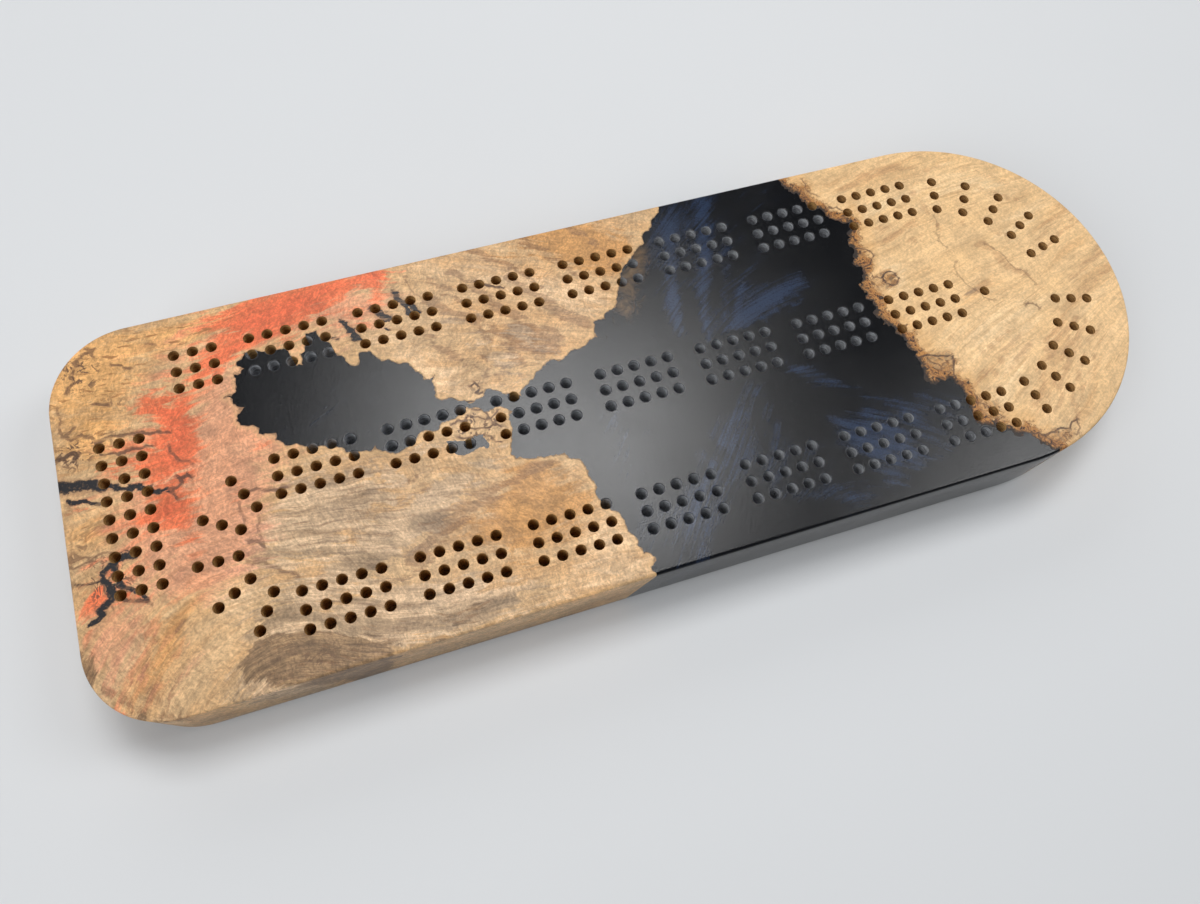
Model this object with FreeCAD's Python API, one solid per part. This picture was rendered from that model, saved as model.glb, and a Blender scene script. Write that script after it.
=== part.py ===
"""Three-lane cribbage board of burl wood cast in dark resin, with a peg drawer in its square end.

Frame: millimetres, +Z up, origin at the middle of the overall box on the surface the board stands on.
+X points to the round end, where the lanes turn; the drawer pulls out of the square end, along -X.
The centre lane runs on y = 0, the far lane lies towards +Y and the near lane towards -Y.
"""
import FreeCAD
import Part
import math
import os

from FreeCAD import Vector

# ---- driving dimensions: the lanes and their peg holes -------------------------------------------
hole_diameter = 3.2
hole_depth = 8.5
hole_sides = 6              # each drilled hole is a prism with few sides, as there are so many of them
hole_pitch = 5.3            # hole to hole in a group, along the lane and from player to player
players = 3
holes_in_group = 5
groups_in_straight = 7
lane_spacing = 38.6         # centre line of one straight to the next
start_columns = 3
start_gap = 2               # pitches from the last starting hole to the first scoring hole
round_turn_angles = (15, 30, 45, 60, 75, 105, 120, 135, 150, 165)
small_turn_angles = (30, 60, 90, 120, 150)
finish_pitches = 2          # pitches from the last hole of the centre lane to the single finish hole
counter_rows = 9
counter_inset = 11.75       # square end to the first column of the games counter
counter_to_lanes = 44.5     # first column of the games counter to the first column of the lanes

# ---- driving dimensions: the board ----------------------------------------------------------------
board_width = 113.5
board_thickness = 24.0
corner_radius = 23.0
top_edge_chamfer = 0.8
bottom_edge_chamfer = 1.2
seam_datum = -0.5           # where the outlines of wood and resin below start from, from mid-lane
seam_lean = 0.28            # how far the left seam runs towards the square end, per mm of depth
pocket_depth = 9.5          # how deep the small resin-filled pocket goes

# ---- driving dimensions: feet -----------------------------------------------------------------------
disc_sides = 16             # small discs, the feet and the magnets, are prisms with few sides
foot_diameter = 9.0
foot_height = 1.5
foot_edge_inset = 14.0      # edge of the board to the middle of a foot

# ---- driving dimensions: drawer bay and its cover ---------------------------------------------------
web_over_bay = 2.5          # wood left between the peg holes and the drawer bay
cover_thickness = 3.0
bay_width = 56.8
bay_length = 112.0
bay_corner_radius = 3.0
cover_lip = 7.0             # how far the glued cover laps past the bay
cover_corner_radius = 6.0
cover_gap = 0.15            # round the edge of the cover

# ---- driving dimensions: drawer ---------------------------------------------------------------------
drawer_side_gap = 0.4
drawer_top_gap = 0.4
drawer_under_gap = 0.2
drawer_back_gap = 0.5
drawer_front_thickness = 9.0
drawer_side_thickness = 3.0
drawer_back_thickness = 4.5
drawer_bottom_thickness = 2.5
bottom_rabbet = 1.5         # how far the bottom is let in under the sides, front and back
glue_gap = 0.02
drawer_travel = 90.0
pull_groove_length = 30.0
pull_groove_radius = 2.4
pull_groove_depth = 1.9

# ---- driving dimensions: peg rack and pegs ----------------------------------------------------------
peg_players = ("brass", "steel", "blue")
pegs_per_player = 3
peg_sides = 6               # a turned peg is drawn with few sides, as there are so many of them
peg_tip_diameter = 2.7
peg_tip_length = 10.0
peg_tip_bevel = 0.8
peg_waist_diameter = 2.2
peg_waist_length = 1.0      # from the tip's full width in to the waist
peg_body_diameter = 4.0
peg_body_length = 14.0
peg_neck_length = 3.0       # from the body's full width in to the neck
peg_knob_diameter = 5.2
peg_knob_length = 5.0
peg_knob_end_diameter = 2.6
peg_seat_gap = 0.15
rack_pitch = 8.4
rack_end_margin = 5.4
rack_thickness = 4.4
rack_gap = 0.2
rack_end_wall = 2.0         # wood beyond each end of a peg's seat
seat_floor = 0.8            # least wood left under a peg

# ---- driving dimensions: hardware -------------------------------------------------------------------
magnet_diameter = 5.0
magnet_thickness = 2.5
stop_pin_diameter = 3.0
stop_pin_height = 1.2       # how far the pin stands up into the groove under the drawer
stop_pin_inset = 13.0       # square end to the pin
stop_groove_gap = 0.25
stop_groove_depth = 1.6

# ---- where the wood ends and the resin begins, as the burl grew: x, y from the seam datum -----------
# Left burl: from the far edge down a slope, round a sheltered pool of resin, and out to the near edge.
far_slope = [
    (25.8, 56.0), (21.5, 51.2), (13.4, 42.6), (7.2, 37.4), (4.2, 31.2), (2.3, 27.4), (-0.5, 24.9),
    (-6.9, 22.1), (-7.2, 17.1), (-9.8, 17.0), (-11.6, 15.4), (-15.0, 15.1), (-19.4, 12.8), (-26.6, 11.4),
    (-31.6, 7.8),
]
strait_far_shore = [
    (-34.4, 4.9), (-36.8, 6.4), (-39.5, 7.0), (-43.6, 9.7), (-46.6, 7.4), (-52.2, 8.2), (-54.8, 9.9),
]
pool_far_shore = [
    (-58.3, 10.9), (-56.9, 18.2), (-58.5, 17.0), (-60.2, 17.4), (-63.2, 23.8), (-66.4, 24.6), (-70.6, 26.5),
    (-73.3, 30.6), (-75.5, 30.9), (-77.2, 27.0), (-79.4, 27.6), (-82.4, 31.6), (-83.5, 36.0), (-85.9, 38.4),
    (-86.5, 41.2), (-89.6, 41.0), (-90.8, 35.6), (-92.2, 34.8), (-92.2, 31.4), (-94.0, 31.4), (-95.4, 36.2),
    (-96.6, 38.0), (-101.6, 38.2), (-104.4, 39.8), (-107.4, 39.5),
]
pool_head = [
    (-110.3, 36.6), (-108.4, 34.7), (-109.5, 33.4), (-111.5, 33.5), (-111.7, 28.2), (-115.3, 27.2),
    (-112.4, 23.6), (-110.4, 22.7), (-113.1, 19.3), (-107.6, 15.3), (-108.1, 13.8), (-103.5, 12.7),
]
pool_near_shore = [
    (-103.9, 10.7), (-100.0, 7.9), (-95.0, 5.9), (-90.6, 5.0), (-87.0, 3.4), (-86.2, 1.7), (-82.6, 0.9),
    (-78.0, 1.5), (-77.0, -0.3), (-74.6, -1.9), (-71.6, -2.2), (-67.8, -1.1), (-64.8, 2.0), (-59.9, 1.2),
]
strait_near_shore = [
    (-58.6, 3.1), (-54.6, 3.2), (-50.4, 5.9), (-47.8, 5.0), (-46.2, 3.0), (-43.4, 3.2), (-38.2, 1.0),
]
near_slope = [
    (-39.6, -4.0), (-41.6, -9.4), (-41.2, -13.2), (-37.6, -14.4), (-30.8, -15.4), (-27.4, -15.4),
    (-23.8, -18.4), (-22.9, -24.0), (-21.8, -32.4), (-17.4, -38.6), (-15.8, -44.4), (-14.9, -49.7),
    (-12.1, -52.0), (-14.2, -54.0), (-13.4, -56.0),
]
# Right burl: the barky live edge, from the far edge to the near one.
bark_edge = [
    (67.6, 56.0), (69.4, 51.9), (71.6, 49.8), (73.0, 44.3), (77.2, 41.7), (78.4, 38.0), (80.0, 36.8),
    (85.0, 35.3), (81.6, 31.0), (81.8, 25.2), (79.2, 20.2), (81.0, 15.9), (77.9, 12.8), (79.6, 9.4),
    (78.2, 7.4), (80.3, 4.0), (78.9, 2.8), (80.2, 0.0), (79.8, -2.4), (82.8, -4.0), (82.5, -6.4),
    (84.6, -12.4), (86.4, -13.8), (85.5, -15.6), (85.7, -20.4), (87.5, -25.8), (89.4, -24.6), (92.4, -24.8),
    (94.6, -28.0), (95.1, -32.4), (94.3, -39.0), (95.1, -41.2), (101.4, -43.2), (102.6, -45.6),
    (109.8, -50.2), (112.8, -53.6), (115.6, -55.4),
]
# A small pocket beside the strait that the resin filled as well.
side_pocket = [
    (-58.8, -2.8), (-52.6, -4.4), (-50.6, -3.4), (-48.2, -3.6), (-47.2, -6.8), (-47.9, -8.2), (-50.2, -7.2),
    (-54.0, -8.2), (-57.2, -7.2),
]

# ---- derived sizes ----------------------------------------------------------------------------------
half_width = board_width / 2
straight_length = (groups_in_straight * (holes_in_group + 1) - 2) * hole_pitch
board_length = counter_inset + counter_to_lanes + straight_length + half_width
square_end_x = -board_length / 2
lanes_start_x = square_end_x + counter_inset + counter_to_lanes
round_end_x = lanes_start_x + straight_length
seam_datum_x = (lanes_start_x + round_end_x) / 2 + seam_datum
underside_z = foot_height
top_z = underside_z + board_thickness
cover_top_z = underside_z + cover_thickness
bay_top_z = top_z - hole_depth - web_over_bay
bay_end_x = square_end_x + bay_length
bay_middle_z = (cover_top_z + bay_top_z) / 2
overshoot = 5.0             # how far cutting shapes run past what they cut

drawer_half_width = bay_width / 2 - drawer_side_gap
drawer_end_x = bay_end_x - drawer_back_gap
drawer_floor_z = cover_top_z + drawer_under_gap
drawer_top_z = bay_top_z - drawer_top_gap
inside_floor_z = drawer_floor_z + drawer_bottom_thickness
inside_front_x = square_end_x + drawer_front_thickness
inside_back_x = drawer_end_x - drawer_back_thickness
inside_half_width = drawer_half_width - drawer_side_thickness
stop_pin_x = square_end_x + stop_pin_inset

pegs_in_rack = len(peg_players) * pegs_per_player
peg_length = peg_tip_length + peg_body_length + peg_knob_length
rack_end_x = inside_back_x - rack_gap
rack_start_x = rack_end_x - (pegs_in_rack - 1) * rack_pitch - 2 * rack_end_margin
peg_axis_z = inside_floor_z + seat_floor + (peg_knob_diameter / 2 + peg_seat_gap) * math.sqrt(2)


# ---- shapes that the parts share ----------------------------------------------------------------------
def box(x0, x1, half_y, z0, z1):
    """A block centred on y = 0."""
    return Part.makeBox(x1 - x0, 2 * half_y, z1 - z0, Vector(x0, -half_y, z0))


def prism(points, z0, z1, lean=0.0):
    """An outline as it is at the board's top, carried from z0 to z1, leaning by so much per mm of height."""
    corners = [Vector(x + lean * (z0 - top_z), y, z0) for x, y in points]
    face = Part.Face(Part.makePolygon(corners + corners[:1]))
    return face.extrude(Vector(lean * (z1 - z0), 0, z1 - z0))


def inner_rounded_box(x0, x1, half_y, z0, z1, radius):
    """A block whose two upright edges at x1 are round, as a router leaves a pocket."""
    block = box(x0, x1, half_y, z0, z1)
    upright = [e for e in block.Edges if abs(e.BoundBox.XMin - x1) < 1e-6 and e.BoundBox.YLength < 1e-6]
    return block.makeFillet(radius, [e for e in upright if e.BoundBox.ZLength > 1e-6])


def round_hole(x, y, z0, z1, diameter):
    """An upright cylinder."""
    return Part.makeCylinder(diameter / 2, z1 - z0, Vector(x, y, z0))


def ring_of_corners(diameter, sides):
    """Corners of an even polygon round the origin, the first of them on the first axis."""
    turns = [2 * math.pi * k / sides for k in range(sides)]
    return [(diameter / 2 * math.cos(t), diameter / 2 * math.sin(t)) for t in turns]


def disc(diameter, thickness):
    """A small disc on the origin, drawn with few sides."""
    return prism(ring_of_corners(diameter, disc_sides), 0, thickness)


# ---- the lanes ----------------------------------------------------------------------------------------
def player_offsets():
    """How far each player's row lies from the centre line of a lane."""
    return [(k - (players - 1) / 2) * hole_pitch for k in range(players)]


def straight_holes():
    """The three straights, in groups with one pitch left out between them."""
    starts = [g * (holes_in_group + 1) for g in range(groups_in_straight)]
    columns = [lanes_start_x + (s + h) * hole_pitch for s in starts for h in range(holes_in_group)]
    lanes = (lane_spacing, 0, -lane_spacing)
    return [(x, y + o) for y in lanes for x in columns for o in player_offsets()]


def round_turn_holes():
    """The wide turn from the far lane to the near one, about the middle of the round end."""
    spokes = [math.radians(90 - a) for a in round_turn_angles]
    radii = [lane_spacing + o for o in player_offsets()]
    return [(round_end_x + r * math.cos(t), r * math.sin(t)) for t in spokes for r in radii]


def small_turn_holes():
    """The small turn from the near lane into the centre one."""
    spokes = [math.radians(90 + a) for a in small_turn_angles]
    radii = [lane_spacing / 2 + o for o in player_offsets()]
    y = -lane_spacing / 2
    return [(lanes_start_x + r * math.cos(t), y + r * math.sin(t)) for t in spokes for r in radii]


def start_holes():
    """The starting block, in line with the far lane."""
    first = lanes_start_x - (start_gap + start_columns - 1) * hole_pitch
    columns = [first + c * hole_pitch for c in range(start_columns)]
    return [(x, lane_spacing + o) for x in columns for o in player_offsets()]


def counter_holes():
    """The games counter, across the square end."""
    first = square_end_x + counter_inset
    rows = [(r - (counter_rows - 1) / 2) * hole_pitch for r in range(counter_rows)]
    return [(first + c * hole_pitch, y) for c in range(players) for y in rows]


def peg_holes():
    """Every peg hole, as the prism that its drill leaves, with its flats the hole's diameter apart."""
    places = straight_holes() + round_turn_holes() + small_turn_holes() + start_holes() + counter_holes()
    places.append((round_end_x + finish_pitches * hole_pitch, 0))
    across_corners = hole_diameter / math.cos(math.pi / hole_sides)
    drill = prism(ring_of_corners(across_corners, hole_sides), top_z - hole_depth, top_z + overshoot)
    return [drill.translated(Vector(x, y, 0)) for x, y in places]


# ---- the board ----------------------------------------------------------------------------------------
def board_outline():
    """Square end with rounded corners, straight sides, and one half circle at the round end."""
    x0, c, w = square_end_x, corner_radius, half_width
    slack = c - c * math.sqrt(0.5)
    far_corner = Part.Arc(Vector(x0 + c, w, 0), Vector(x0 + slack, w - slack, 0), Vector(x0, w - c, 0))
    near_corner = Part.Arc(Vector(x0, c - w, 0), Vector(x0 + slack, slack - w, 0), Vector(x0 + c, -w, 0))
    tip = Vector(round_end_x + w, 0, 0)
    round_end = Part.Arc(Vector(round_end_x, -w, 0), tip, Vector(round_end_x, w, 0))
    far_side = Part.makeLine(Vector(round_end_x, w, 0), Vector(x0 + c, w, 0))
    end = Part.makeLine(Vector(x0, w - c, 0), Vector(x0, c - w, 0))
    near_side = Part.makeLine(Vector(x0 + c, -w, 0), Vector(round_end_x, -w, 0))
    near = [near_corner.toShape(), near_side, round_end.toShape()]
    return Part.Wire([far_corner.toShape(), end] + near + [far_side])


def level_edges(solid, z):
    """The edges that lie wholly at one height."""
    bounds = [(e, e.BoundBox) for e in solid.Edges]
    return [e for e, b in bounds if abs(b.ZMin - z) < 1e-6 and abs(b.ZMax - z) < 1e-6]


def blank_board():
    """The whole slab before it is told apart into wood and resin, with its edges eased."""
    outline = board_outline().translated(Vector(0, 0, underside_z))
    slab = Part.Face(outline).extrude(Vector(0, 0, board_thickness))
    slab = slab.makeChamfer(top_edge_chamfer, level_edges(slab, top_z))
    return slab.makeChamfer(bottom_edge_chamfer, level_edges(slab, underside_z))


def placed(outline):
    """An outline of wood or resin, moved from the seam datum to the board."""
    return [(x + seam_datum_x, y) for x, y in outline]


def side_of_seam(seam, end_x, lean=0.0):
    """All of the board between a seam and one end, the seam's ends carried straight out past the sides."""
    reach = half_width + overshoot
    line = placed(seam)
    crossing = [(line[0][0], reach)] + line + [(line[-1][0], -reach)]
    return prism(crossing + [(end_x, -reach), (end_x, reach)], 0, top_z + overshoot, lean)


def left_burl_space():
    """All that lies left of the far slope, the shores of the strait and the pool, and the near slope."""
    shores = strait_far_shore + pool_far_shore + pool_head + pool_near_shore + strait_near_shore
    return side_of_seam(far_slope + shores + near_slope, square_end_x - 2 * board_thickness, seam_lean)


def right_burl_space():
    """All that lies right of the bark edge."""
    return side_of_seam(bark_edge, -square_end_x + overshoot)


def pocket_space():
    """The small pocket, open at the top."""
    return prism(placed(side_pocket), top_z - pocket_depth, top_z + overshoot)


def bay_space():
    """The drawer's bay, open at the square end and underneath, with the cutter's round inner corners."""
    low = underside_z - overshoot
    half = bay_width / 2
    return inner_rounded_box(square_end_x - overshoot, bay_end_x, half, low, bay_top_z, bay_corner_radius)


def cover_space(gap):
    """The rabbet for the cover in the underside, or the cover's own space inside it."""
    half = bay_width / 2 + cover_lip - gap
    end = bay_end_x + cover_lip - gap
    low = underside_z - overshoot
    return inner_rounded_box(square_end_x - overshoot, end, half, low, cover_top_z, cover_corner_radius)


def magnet(x, gap=0.0):
    """A disc magnet on the drawer's middle line, from x towards +X; with a gap, the seat that takes it."""
    place = FreeCAD.Placement(Vector(x, 0, bay_middle_z), FreeCAD.Rotation(Vector(0, 1, 0), 90))
    return disc(magnet_diameter + 2 * gap, magnet_thickness + gap).transformed(place.toMatrix())


def stop_pin(gap=0.0):
    """The pin that stands up through the cover and stops the drawer at the end of its groove."""
    return round_hole(stop_pin_x, 0, underside_z, cover_top_z + stop_pin_height, stop_pin_diameter + 2 * gap)


def foot_places():
    """One foot near each end of each side, clear of the cover."""
    y = half_width - foot_edge_inset
    ends = (("square", square_end_x + corner_radius), ("round", round_end_x))
    return {f"foot_{side}_{end}": (x, s * y) for end, x in ends for side, s in (("far", 1), ("near", -1))}


# ---- the drawer ---------------------------------------------------------------------------------------
def bottom_space(gap):
    """The rabbet round the drawer's lower edge that takes its bottom, or the bottom's own space in it."""
    grow = bottom_rabbet - gap
    half = inside_half_width + grow
    return box(inside_front_x - grow, inside_back_x + grow, half, drawer_floor_z, inside_floor_z)


def pull_groove():
    """A finger groove along the middle of the drawer's front, run out at its ends by the round cutter."""
    x = square_end_x - pull_groove_radius + pull_groove_depth
    half = pull_groove_length / 2
    return Part.makeCylinder(pull_groove_radius, 2 * half, Vector(x, -half, bay_middle_z), Vector(0, 1, 0))


def drawer_front():
    """The front, flush with the board's square end."""
    block = box(square_end_x, inside_front_x, drawer_half_width, drawer_floor_z, drawer_top_z)
    return block.cut([bottom_space(0), pull_groove()])


def drawer_side(sign):
    """One long side, between the front and the back."""
    middle = sign * (inside_half_width + drawer_half_width) / 2
    block = box(inside_front_x, inside_back_x, drawer_side_thickness / 2, drawer_floor_z, drawer_top_z)
    return block.translated(Vector(0, middle, 0)).cut(bottom_space(0))


def drawer_back():
    """The back, with corners that follow the bay's and a seat for its magnet."""
    block = inner_rounded_box(
        inside_back_x, drawer_end_x, drawer_half_width, drawer_floor_z, drawer_top_z, bay_corner_radius
    )
    return block.cut([bottom_space(0), magnet(drawer_end_x - magnet_thickness, glue_gap)])


def drawer_bottom():
    """The bottom, with the groove underneath that the stop pin runs in."""
    width = stop_pin_diameter + 2 * stop_groove_gap
    top = drawer_floor_z + stop_groove_depth
    low = drawer_floor_z - overshoot
    ends = (stop_pin_x, stop_pin_x + drawer_travel)
    groove = box(ends[0], ends[1], width / 2, low, top)
    return bottom_space(glue_gap).cut([groove] + [round_hole(x, 0, low, top, width) for x in ends])


# ---- the pegs and their rack --------------------------------------------------------------------------
def peg_places():
    """Where each peg lies along the rack, and which way its knob points: by turns, so that they nest."""
    first = rack_start_x + rack_end_margin
    return [(first + k * rack_pitch, 1 if k % 2 else -1) for k in range(pegs_in_rack)]


def peg_profile():
    """A turned peg from tip to knob, as (diameter, distance from the tip) pairs."""
    neck = peg_tip_length + peg_body_length
    return [
        (peg_tip_diameter - 2 * peg_tip_bevel, 0), (peg_tip_diameter, peg_tip_bevel),
        (peg_tip_diameter, peg_tip_length - peg_waist_length), (peg_waist_diameter, peg_tip_length),
        (peg_body_diameter, neck - peg_neck_length), (peg_waist_diameter, neck),
        (0.9 * peg_knob_diameter, neck + 0.2 * peg_knob_length),
        (peg_knob_diameter, neck + 0.6 * peg_knob_length), (peg_knob_end_diameter, peg_length),
    ]


def faceted_turning(profile, sides):
    """A turned solid along +Y drawn with flat sides, from (diameter, distance) pairs."""
    rings = [[Vector(u, y, v) for u, v in ring_of_corners(d, sides)] for d, y in profile]
    faces = [Part.Face(Part.makePolygon(ring + ring[:1])) for ring in (rings[0], rings[-1])]
    for low, high in zip(rings, rings[1:]):
        for k in range(sides):
            j = (k + 1) % sides
            faces.append(Part.Face(Part.makePolygon([low[k], low[j], high[j], high[k], low[k]])))
    return Part.Solid(Part.Shell(faces))


def laid(shape, x, sign):
    """Turns a shape made along +Y about its middle length, so that its far end points along sign * Y."""
    turn = FreeCAD.Rotation(Vector(0, 0, 1), 0 if sign > 0 else 180)
    place = FreeCAD.Placement(Vector(x, -sign * peg_length / 2, peg_axis_z), turn)
    return shape.transformed(place.toMatrix())


def vee_cut(y0, y1, diameter):
    """A right-angled groove along Y that a round bar of this diameter lies in, its axis at z = 0."""
    drop = (diameter / 2 + peg_seat_gap) * math.sqrt(2)
    rise = overshoot
    corners = [Vector(0, y0, -drop), Vector(drop + rise, y0, rise), Vector(-drop - rise, y0, rise)]
    return Part.Face(Part.makePolygon(corners + corners[:1])).extrude(Vector(0, y1 - y0, 0))


def peg_rack():
    """The block that the pegs lie in: a deep groove for each knob and a shallower one for the rest."""
    neck = peg_tip_length + peg_body_length
    seat = vee_cut(-peg_seat_gap, neck, peg_body_diameter)
    seat = seat.fuse(vee_cut(neck, peg_length + peg_seat_gap, peg_knob_diameter))
    half = peg_length / 2 + 3 * peg_seat_gap
    low = inside_floor_z
    block = box(rack_start_x, rack_end_x, half + rack_end_wall, low, low + rack_thickness)
    return block.cut([laid(seat, x, s) for x, s in peg_places()])


# ---- the parts and their files ------------------------------------------------------------------------
def board_nodes():
    """The three slabs and the small pocket of resin, each cut by the same drills and routers."""
    blank = blank_board()
    cuts = [bay_space(), cover_space(0), magnet(bay_end_x, glue_gap)] + peg_holes()
    left, right, pocket = left_burl_space(), right_burl_space(), pocket_space()
    return {
        "burl_left": blank.common(left).cut([pocket] + cuts),
        "burl_right": blank.common(right).cut(cuts),
        "resin": blank.cut([left, right]).cut(cuts),
        "resin_pocket": blank.common(pocket).cut(cuts),
    }


def case_nodes():
    """What is fixed to the board."""
    nodes = {
        "bay_cover": blank_board().common(cover_space(cover_gap)).cut(stop_pin(glue_gap)),
        "stop_pin": stop_pin(),
        "bay_magnet": magnet(bay_end_x),
    }
    for name, (x, y) in foot_places().items():
        nodes[name] = disc(foot_diameter, foot_height).translated(Vector(x, y, 0))
    return nodes


def drawer_nodes():
    """The drawer and what lies in it."""
    nodes = {
        "drawer_front": drawer_front(),
        "drawer_side_far": drawer_side(1),
        "drawer_side_near": drawer_side(-1),
        "drawer_back": drawer_back(),
        "drawer_bottom": drawer_bottom(),
        "drawer_magnet": magnet(drawer_end_x - magnet_thickness),
        "peg_rack": peg_rack(),
    }
    peg = faceted_turning(peg_profile(), peg_sides)
    for k, (x, sign) in enumerate(peg_places()):
        owner, number = divmod(k, pegs_per_player)
        nodes[f"peg_{peg_players[owner]}_{number + 1}"] = laid(peg, x, sign)
    return nodes


def main():
    """Writes one STEP file per node."""
    os.makedirs("parts", exist_ok=True)
    nodes = {**board_nodes(), **case_nodes(), **drawer_nodes()}
    for name, shape in nodes.items():
        solids = shape.Solids
        part = solids[0] if len(solids) == 1 else shape
        part.exportStep(os.path.join("parts", name + ".step"))
        print(f"{name}: {len(solids)} solid(s), {part.Volume:.1f} mm3, valid {part.isValid()}")


main()
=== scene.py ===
"""Three-lane cribbage board of burl wood cast in dark resin, with a peg drawer in its square end.

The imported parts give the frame: every piece is in metres, in their place, and rides on the case or the
drawer. Shapes are worked out in millimetres with numpy and turned into metres as they go into a mesh.
"""

import math

import bpy
import numpy as np
from bpy.props import FloatProperty, FloatVectorProperty, IntProperty, PointerProperty
from bpy.types import Operator, Panel, PropertyGroup
from mathutils import Matrix, Vector
from mathutils.geometry import delaunay_2d_cdt


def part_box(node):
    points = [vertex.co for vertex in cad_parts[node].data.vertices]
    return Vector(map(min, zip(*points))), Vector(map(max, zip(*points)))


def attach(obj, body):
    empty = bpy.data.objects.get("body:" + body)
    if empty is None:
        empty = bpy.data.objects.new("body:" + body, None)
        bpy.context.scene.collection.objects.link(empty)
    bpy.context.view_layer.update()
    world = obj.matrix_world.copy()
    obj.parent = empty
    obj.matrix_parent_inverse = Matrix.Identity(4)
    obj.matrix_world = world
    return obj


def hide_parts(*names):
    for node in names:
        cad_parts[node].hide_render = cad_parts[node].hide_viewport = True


bl_info = {
    "name": "Cribbage Board With Peg Drawer",
    "version": (1, 0, 0),
    "blender": (4, 5, 0),
    "location": "3D Viewport > Sidebar > Cribbage",
    "description": "Dresses the burl and resin cribbage board, its drawer and its pegs",
    "category": "Add Mesh",
}

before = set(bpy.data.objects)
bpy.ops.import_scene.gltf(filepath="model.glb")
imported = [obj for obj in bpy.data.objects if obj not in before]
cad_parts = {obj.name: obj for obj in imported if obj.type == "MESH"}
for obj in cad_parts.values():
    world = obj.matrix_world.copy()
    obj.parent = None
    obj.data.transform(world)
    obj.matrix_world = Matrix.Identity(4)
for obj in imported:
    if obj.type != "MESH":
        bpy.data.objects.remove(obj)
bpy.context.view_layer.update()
MM = 0.001
SHARP_ANGLE = math.radians(38)
BATCH = 8000  # points that are measured at once
SAME_PLACE = 0.02  # millimetres within which two edges count as one


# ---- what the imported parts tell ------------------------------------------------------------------
def span(node):
    """Lowest and highest corner of a CAD node in millimetres."""
    low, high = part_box(node)
    return np.array(low) / MM, np.array(high) / MM


BOARD_LOW = span("burl_left")[0]
BOARD_HIGH = span("burl_right")[1]
SQUARE_END = BOARD_LOW[0]
HALF_WIDTH = BOARD_HIGH[1]
ROUND_END = -SQUARE_END - HALF_WIDTH
TOP = BOARD_HIGH[2]
UNDERSIDE = BOARD_LOW[2]
DRAWER_LOW, DRAWER_HIGH = span("drawer_front")


def metres(name, description, default):
    """A length in metres that the sidebar shows."""
    return FloatProperty(name=name, description=description, default=default, unit="LENGTH")


def swatch(name, description, *rgb):
    """A colour that the sidebar shows, as the numbers that shaders use."""
    return FloatVectorProperty(
        name=name, description=description, subtype="COLOR", size=4, default=(*rgb, 1)
    )


class BoardSizes(PropertyGroup):
    """Sizes of the board's holes and edges."""

    hole_diameter: metres("Peg hole", "Width of a peg hole", 3.2e-3)
    hole_pitch: metres("Pitch", "From hole to hole in a group", 5.3e-3)
    lane_spacing: metres("Lane spacing", "From the middle of one straight to the next", 38.6e-3)
    counter_inset: metres("Counter inset", "Square end to the games counter", 11.75e-3)
    counter_to_lanes: metres("Counter to lanes", "Games counter to the first holes", 44.5e-3)
    corner_radius: metres("Corner radius", "Corners of the square end", 23e-3)
    edge_round: metres("Edge", "Rounding along the edges", 0.85e-3)
    grid_step: metres("Mesh step", "Spacing of the top's points", 2e-3)
    hole_edges: IntProperty(
        name="Hole sides", description="Sides that a drawn hole has", default=20, min=8, max=48
    )
    joint_lean: FloatProperty(
        name="Joint lean", description="How far the left joint runs back per unit of depth", default=0.28
    )


class FinishColours(PropertyGroup):
    """Colours of the woods, the resin and the table."""

    maple: swatch("Maple", "Pale ground of the left burl", 0.705, 0.456, 0.234)
    gold: swatch("Golden maple", "Ground of the right burl", 0.815, 0.54, 0.272)
    flame: swatch("Flame", "Red stain in the burl", 0.79, 0.14, 0.05)
    bark: swatch("Bark", "Lit ridges of the bark along the live edge", 0.55, 0.25, 0.062)
    resin: swatch("Resin", "Ground of the resin", 0.0016, 0.0019, 0.0031)
    shimmer: swatch("Shimmer", "Blue pigment in the resin", 0.019, 0.034, 0.074)
    floor: swatch("Floor", "Table and backdrop", 0.655, 0.668, 0.682)


def shown(name, data):
    """A new object with its data, linked to the scene."""
    made = bpy.data.objects.new(name, data)
    bpy.context.scene.collection.objects.link(made)
    return made


# ---- the plan of the board -----------------------------------------------------------------------
def lattice(columns, rows):
    """Every crossing of a set of columns with a set of rows, as (n, 2)."""
    return np.stack(np.meshgrid(columns, rows), -1).reshape(-1, 2)


def fan(centre, degrees, radii):
    """Points on arcs about a centre: x = cx + r cos t, y = cy + r sin t."""
    turn = np.radians(degrees)[:, None]
    reach = np.asarray(radii)[None, :]
    return np.stack([centre[0] + reach * np.cos(turn), centre[1] + reach * np.sin(turn)], -1).reshape(-1, 2)


def peg_holes(sizes):
    """Centres of all peg holes: three straights of seven groups of five by three, the wide turn about
    the round end, the small turn from the near lane to the centre one, the start block, the games
    counter and the finish."""
    pitch = sizes.hole_pitch / MM
    lane = sizes.lane_spacing / MM
    rows = pitch * np.arange(-1, 2)
    counter = SQUARE_END + sizes.counter_inset / MM
    first = counter + sizes.counter_to_lanes / MM
    columns = first + pitch * (np.arange(7)[:, None] * 6 + np.arange(5)).ravel()
    wide = 90 - np.array([15, 30, 45, 60, 75, 105, 120, 135, 150, 165])
    small = 90 + np.array([30, 60, 90, 120, 150])
    return np.concatenate([
        lattice(columns, lane + rows),
        lattice(columns, rows),
        lattice(columns, rows - lane),
        fan((ROUND_END, 0), wide, lane + rows),
        fan((first, -lane / 2), small, lane / 2 + rows),
        lattice(first - pitch * np.arange(2, 5), lane + rows),
        lattice(counter + pitch * np.arange(3), pitch * np.arange(-4, 5)),
        [(ROUND_END + 2 * pitch, 0)],
    ])


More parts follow.
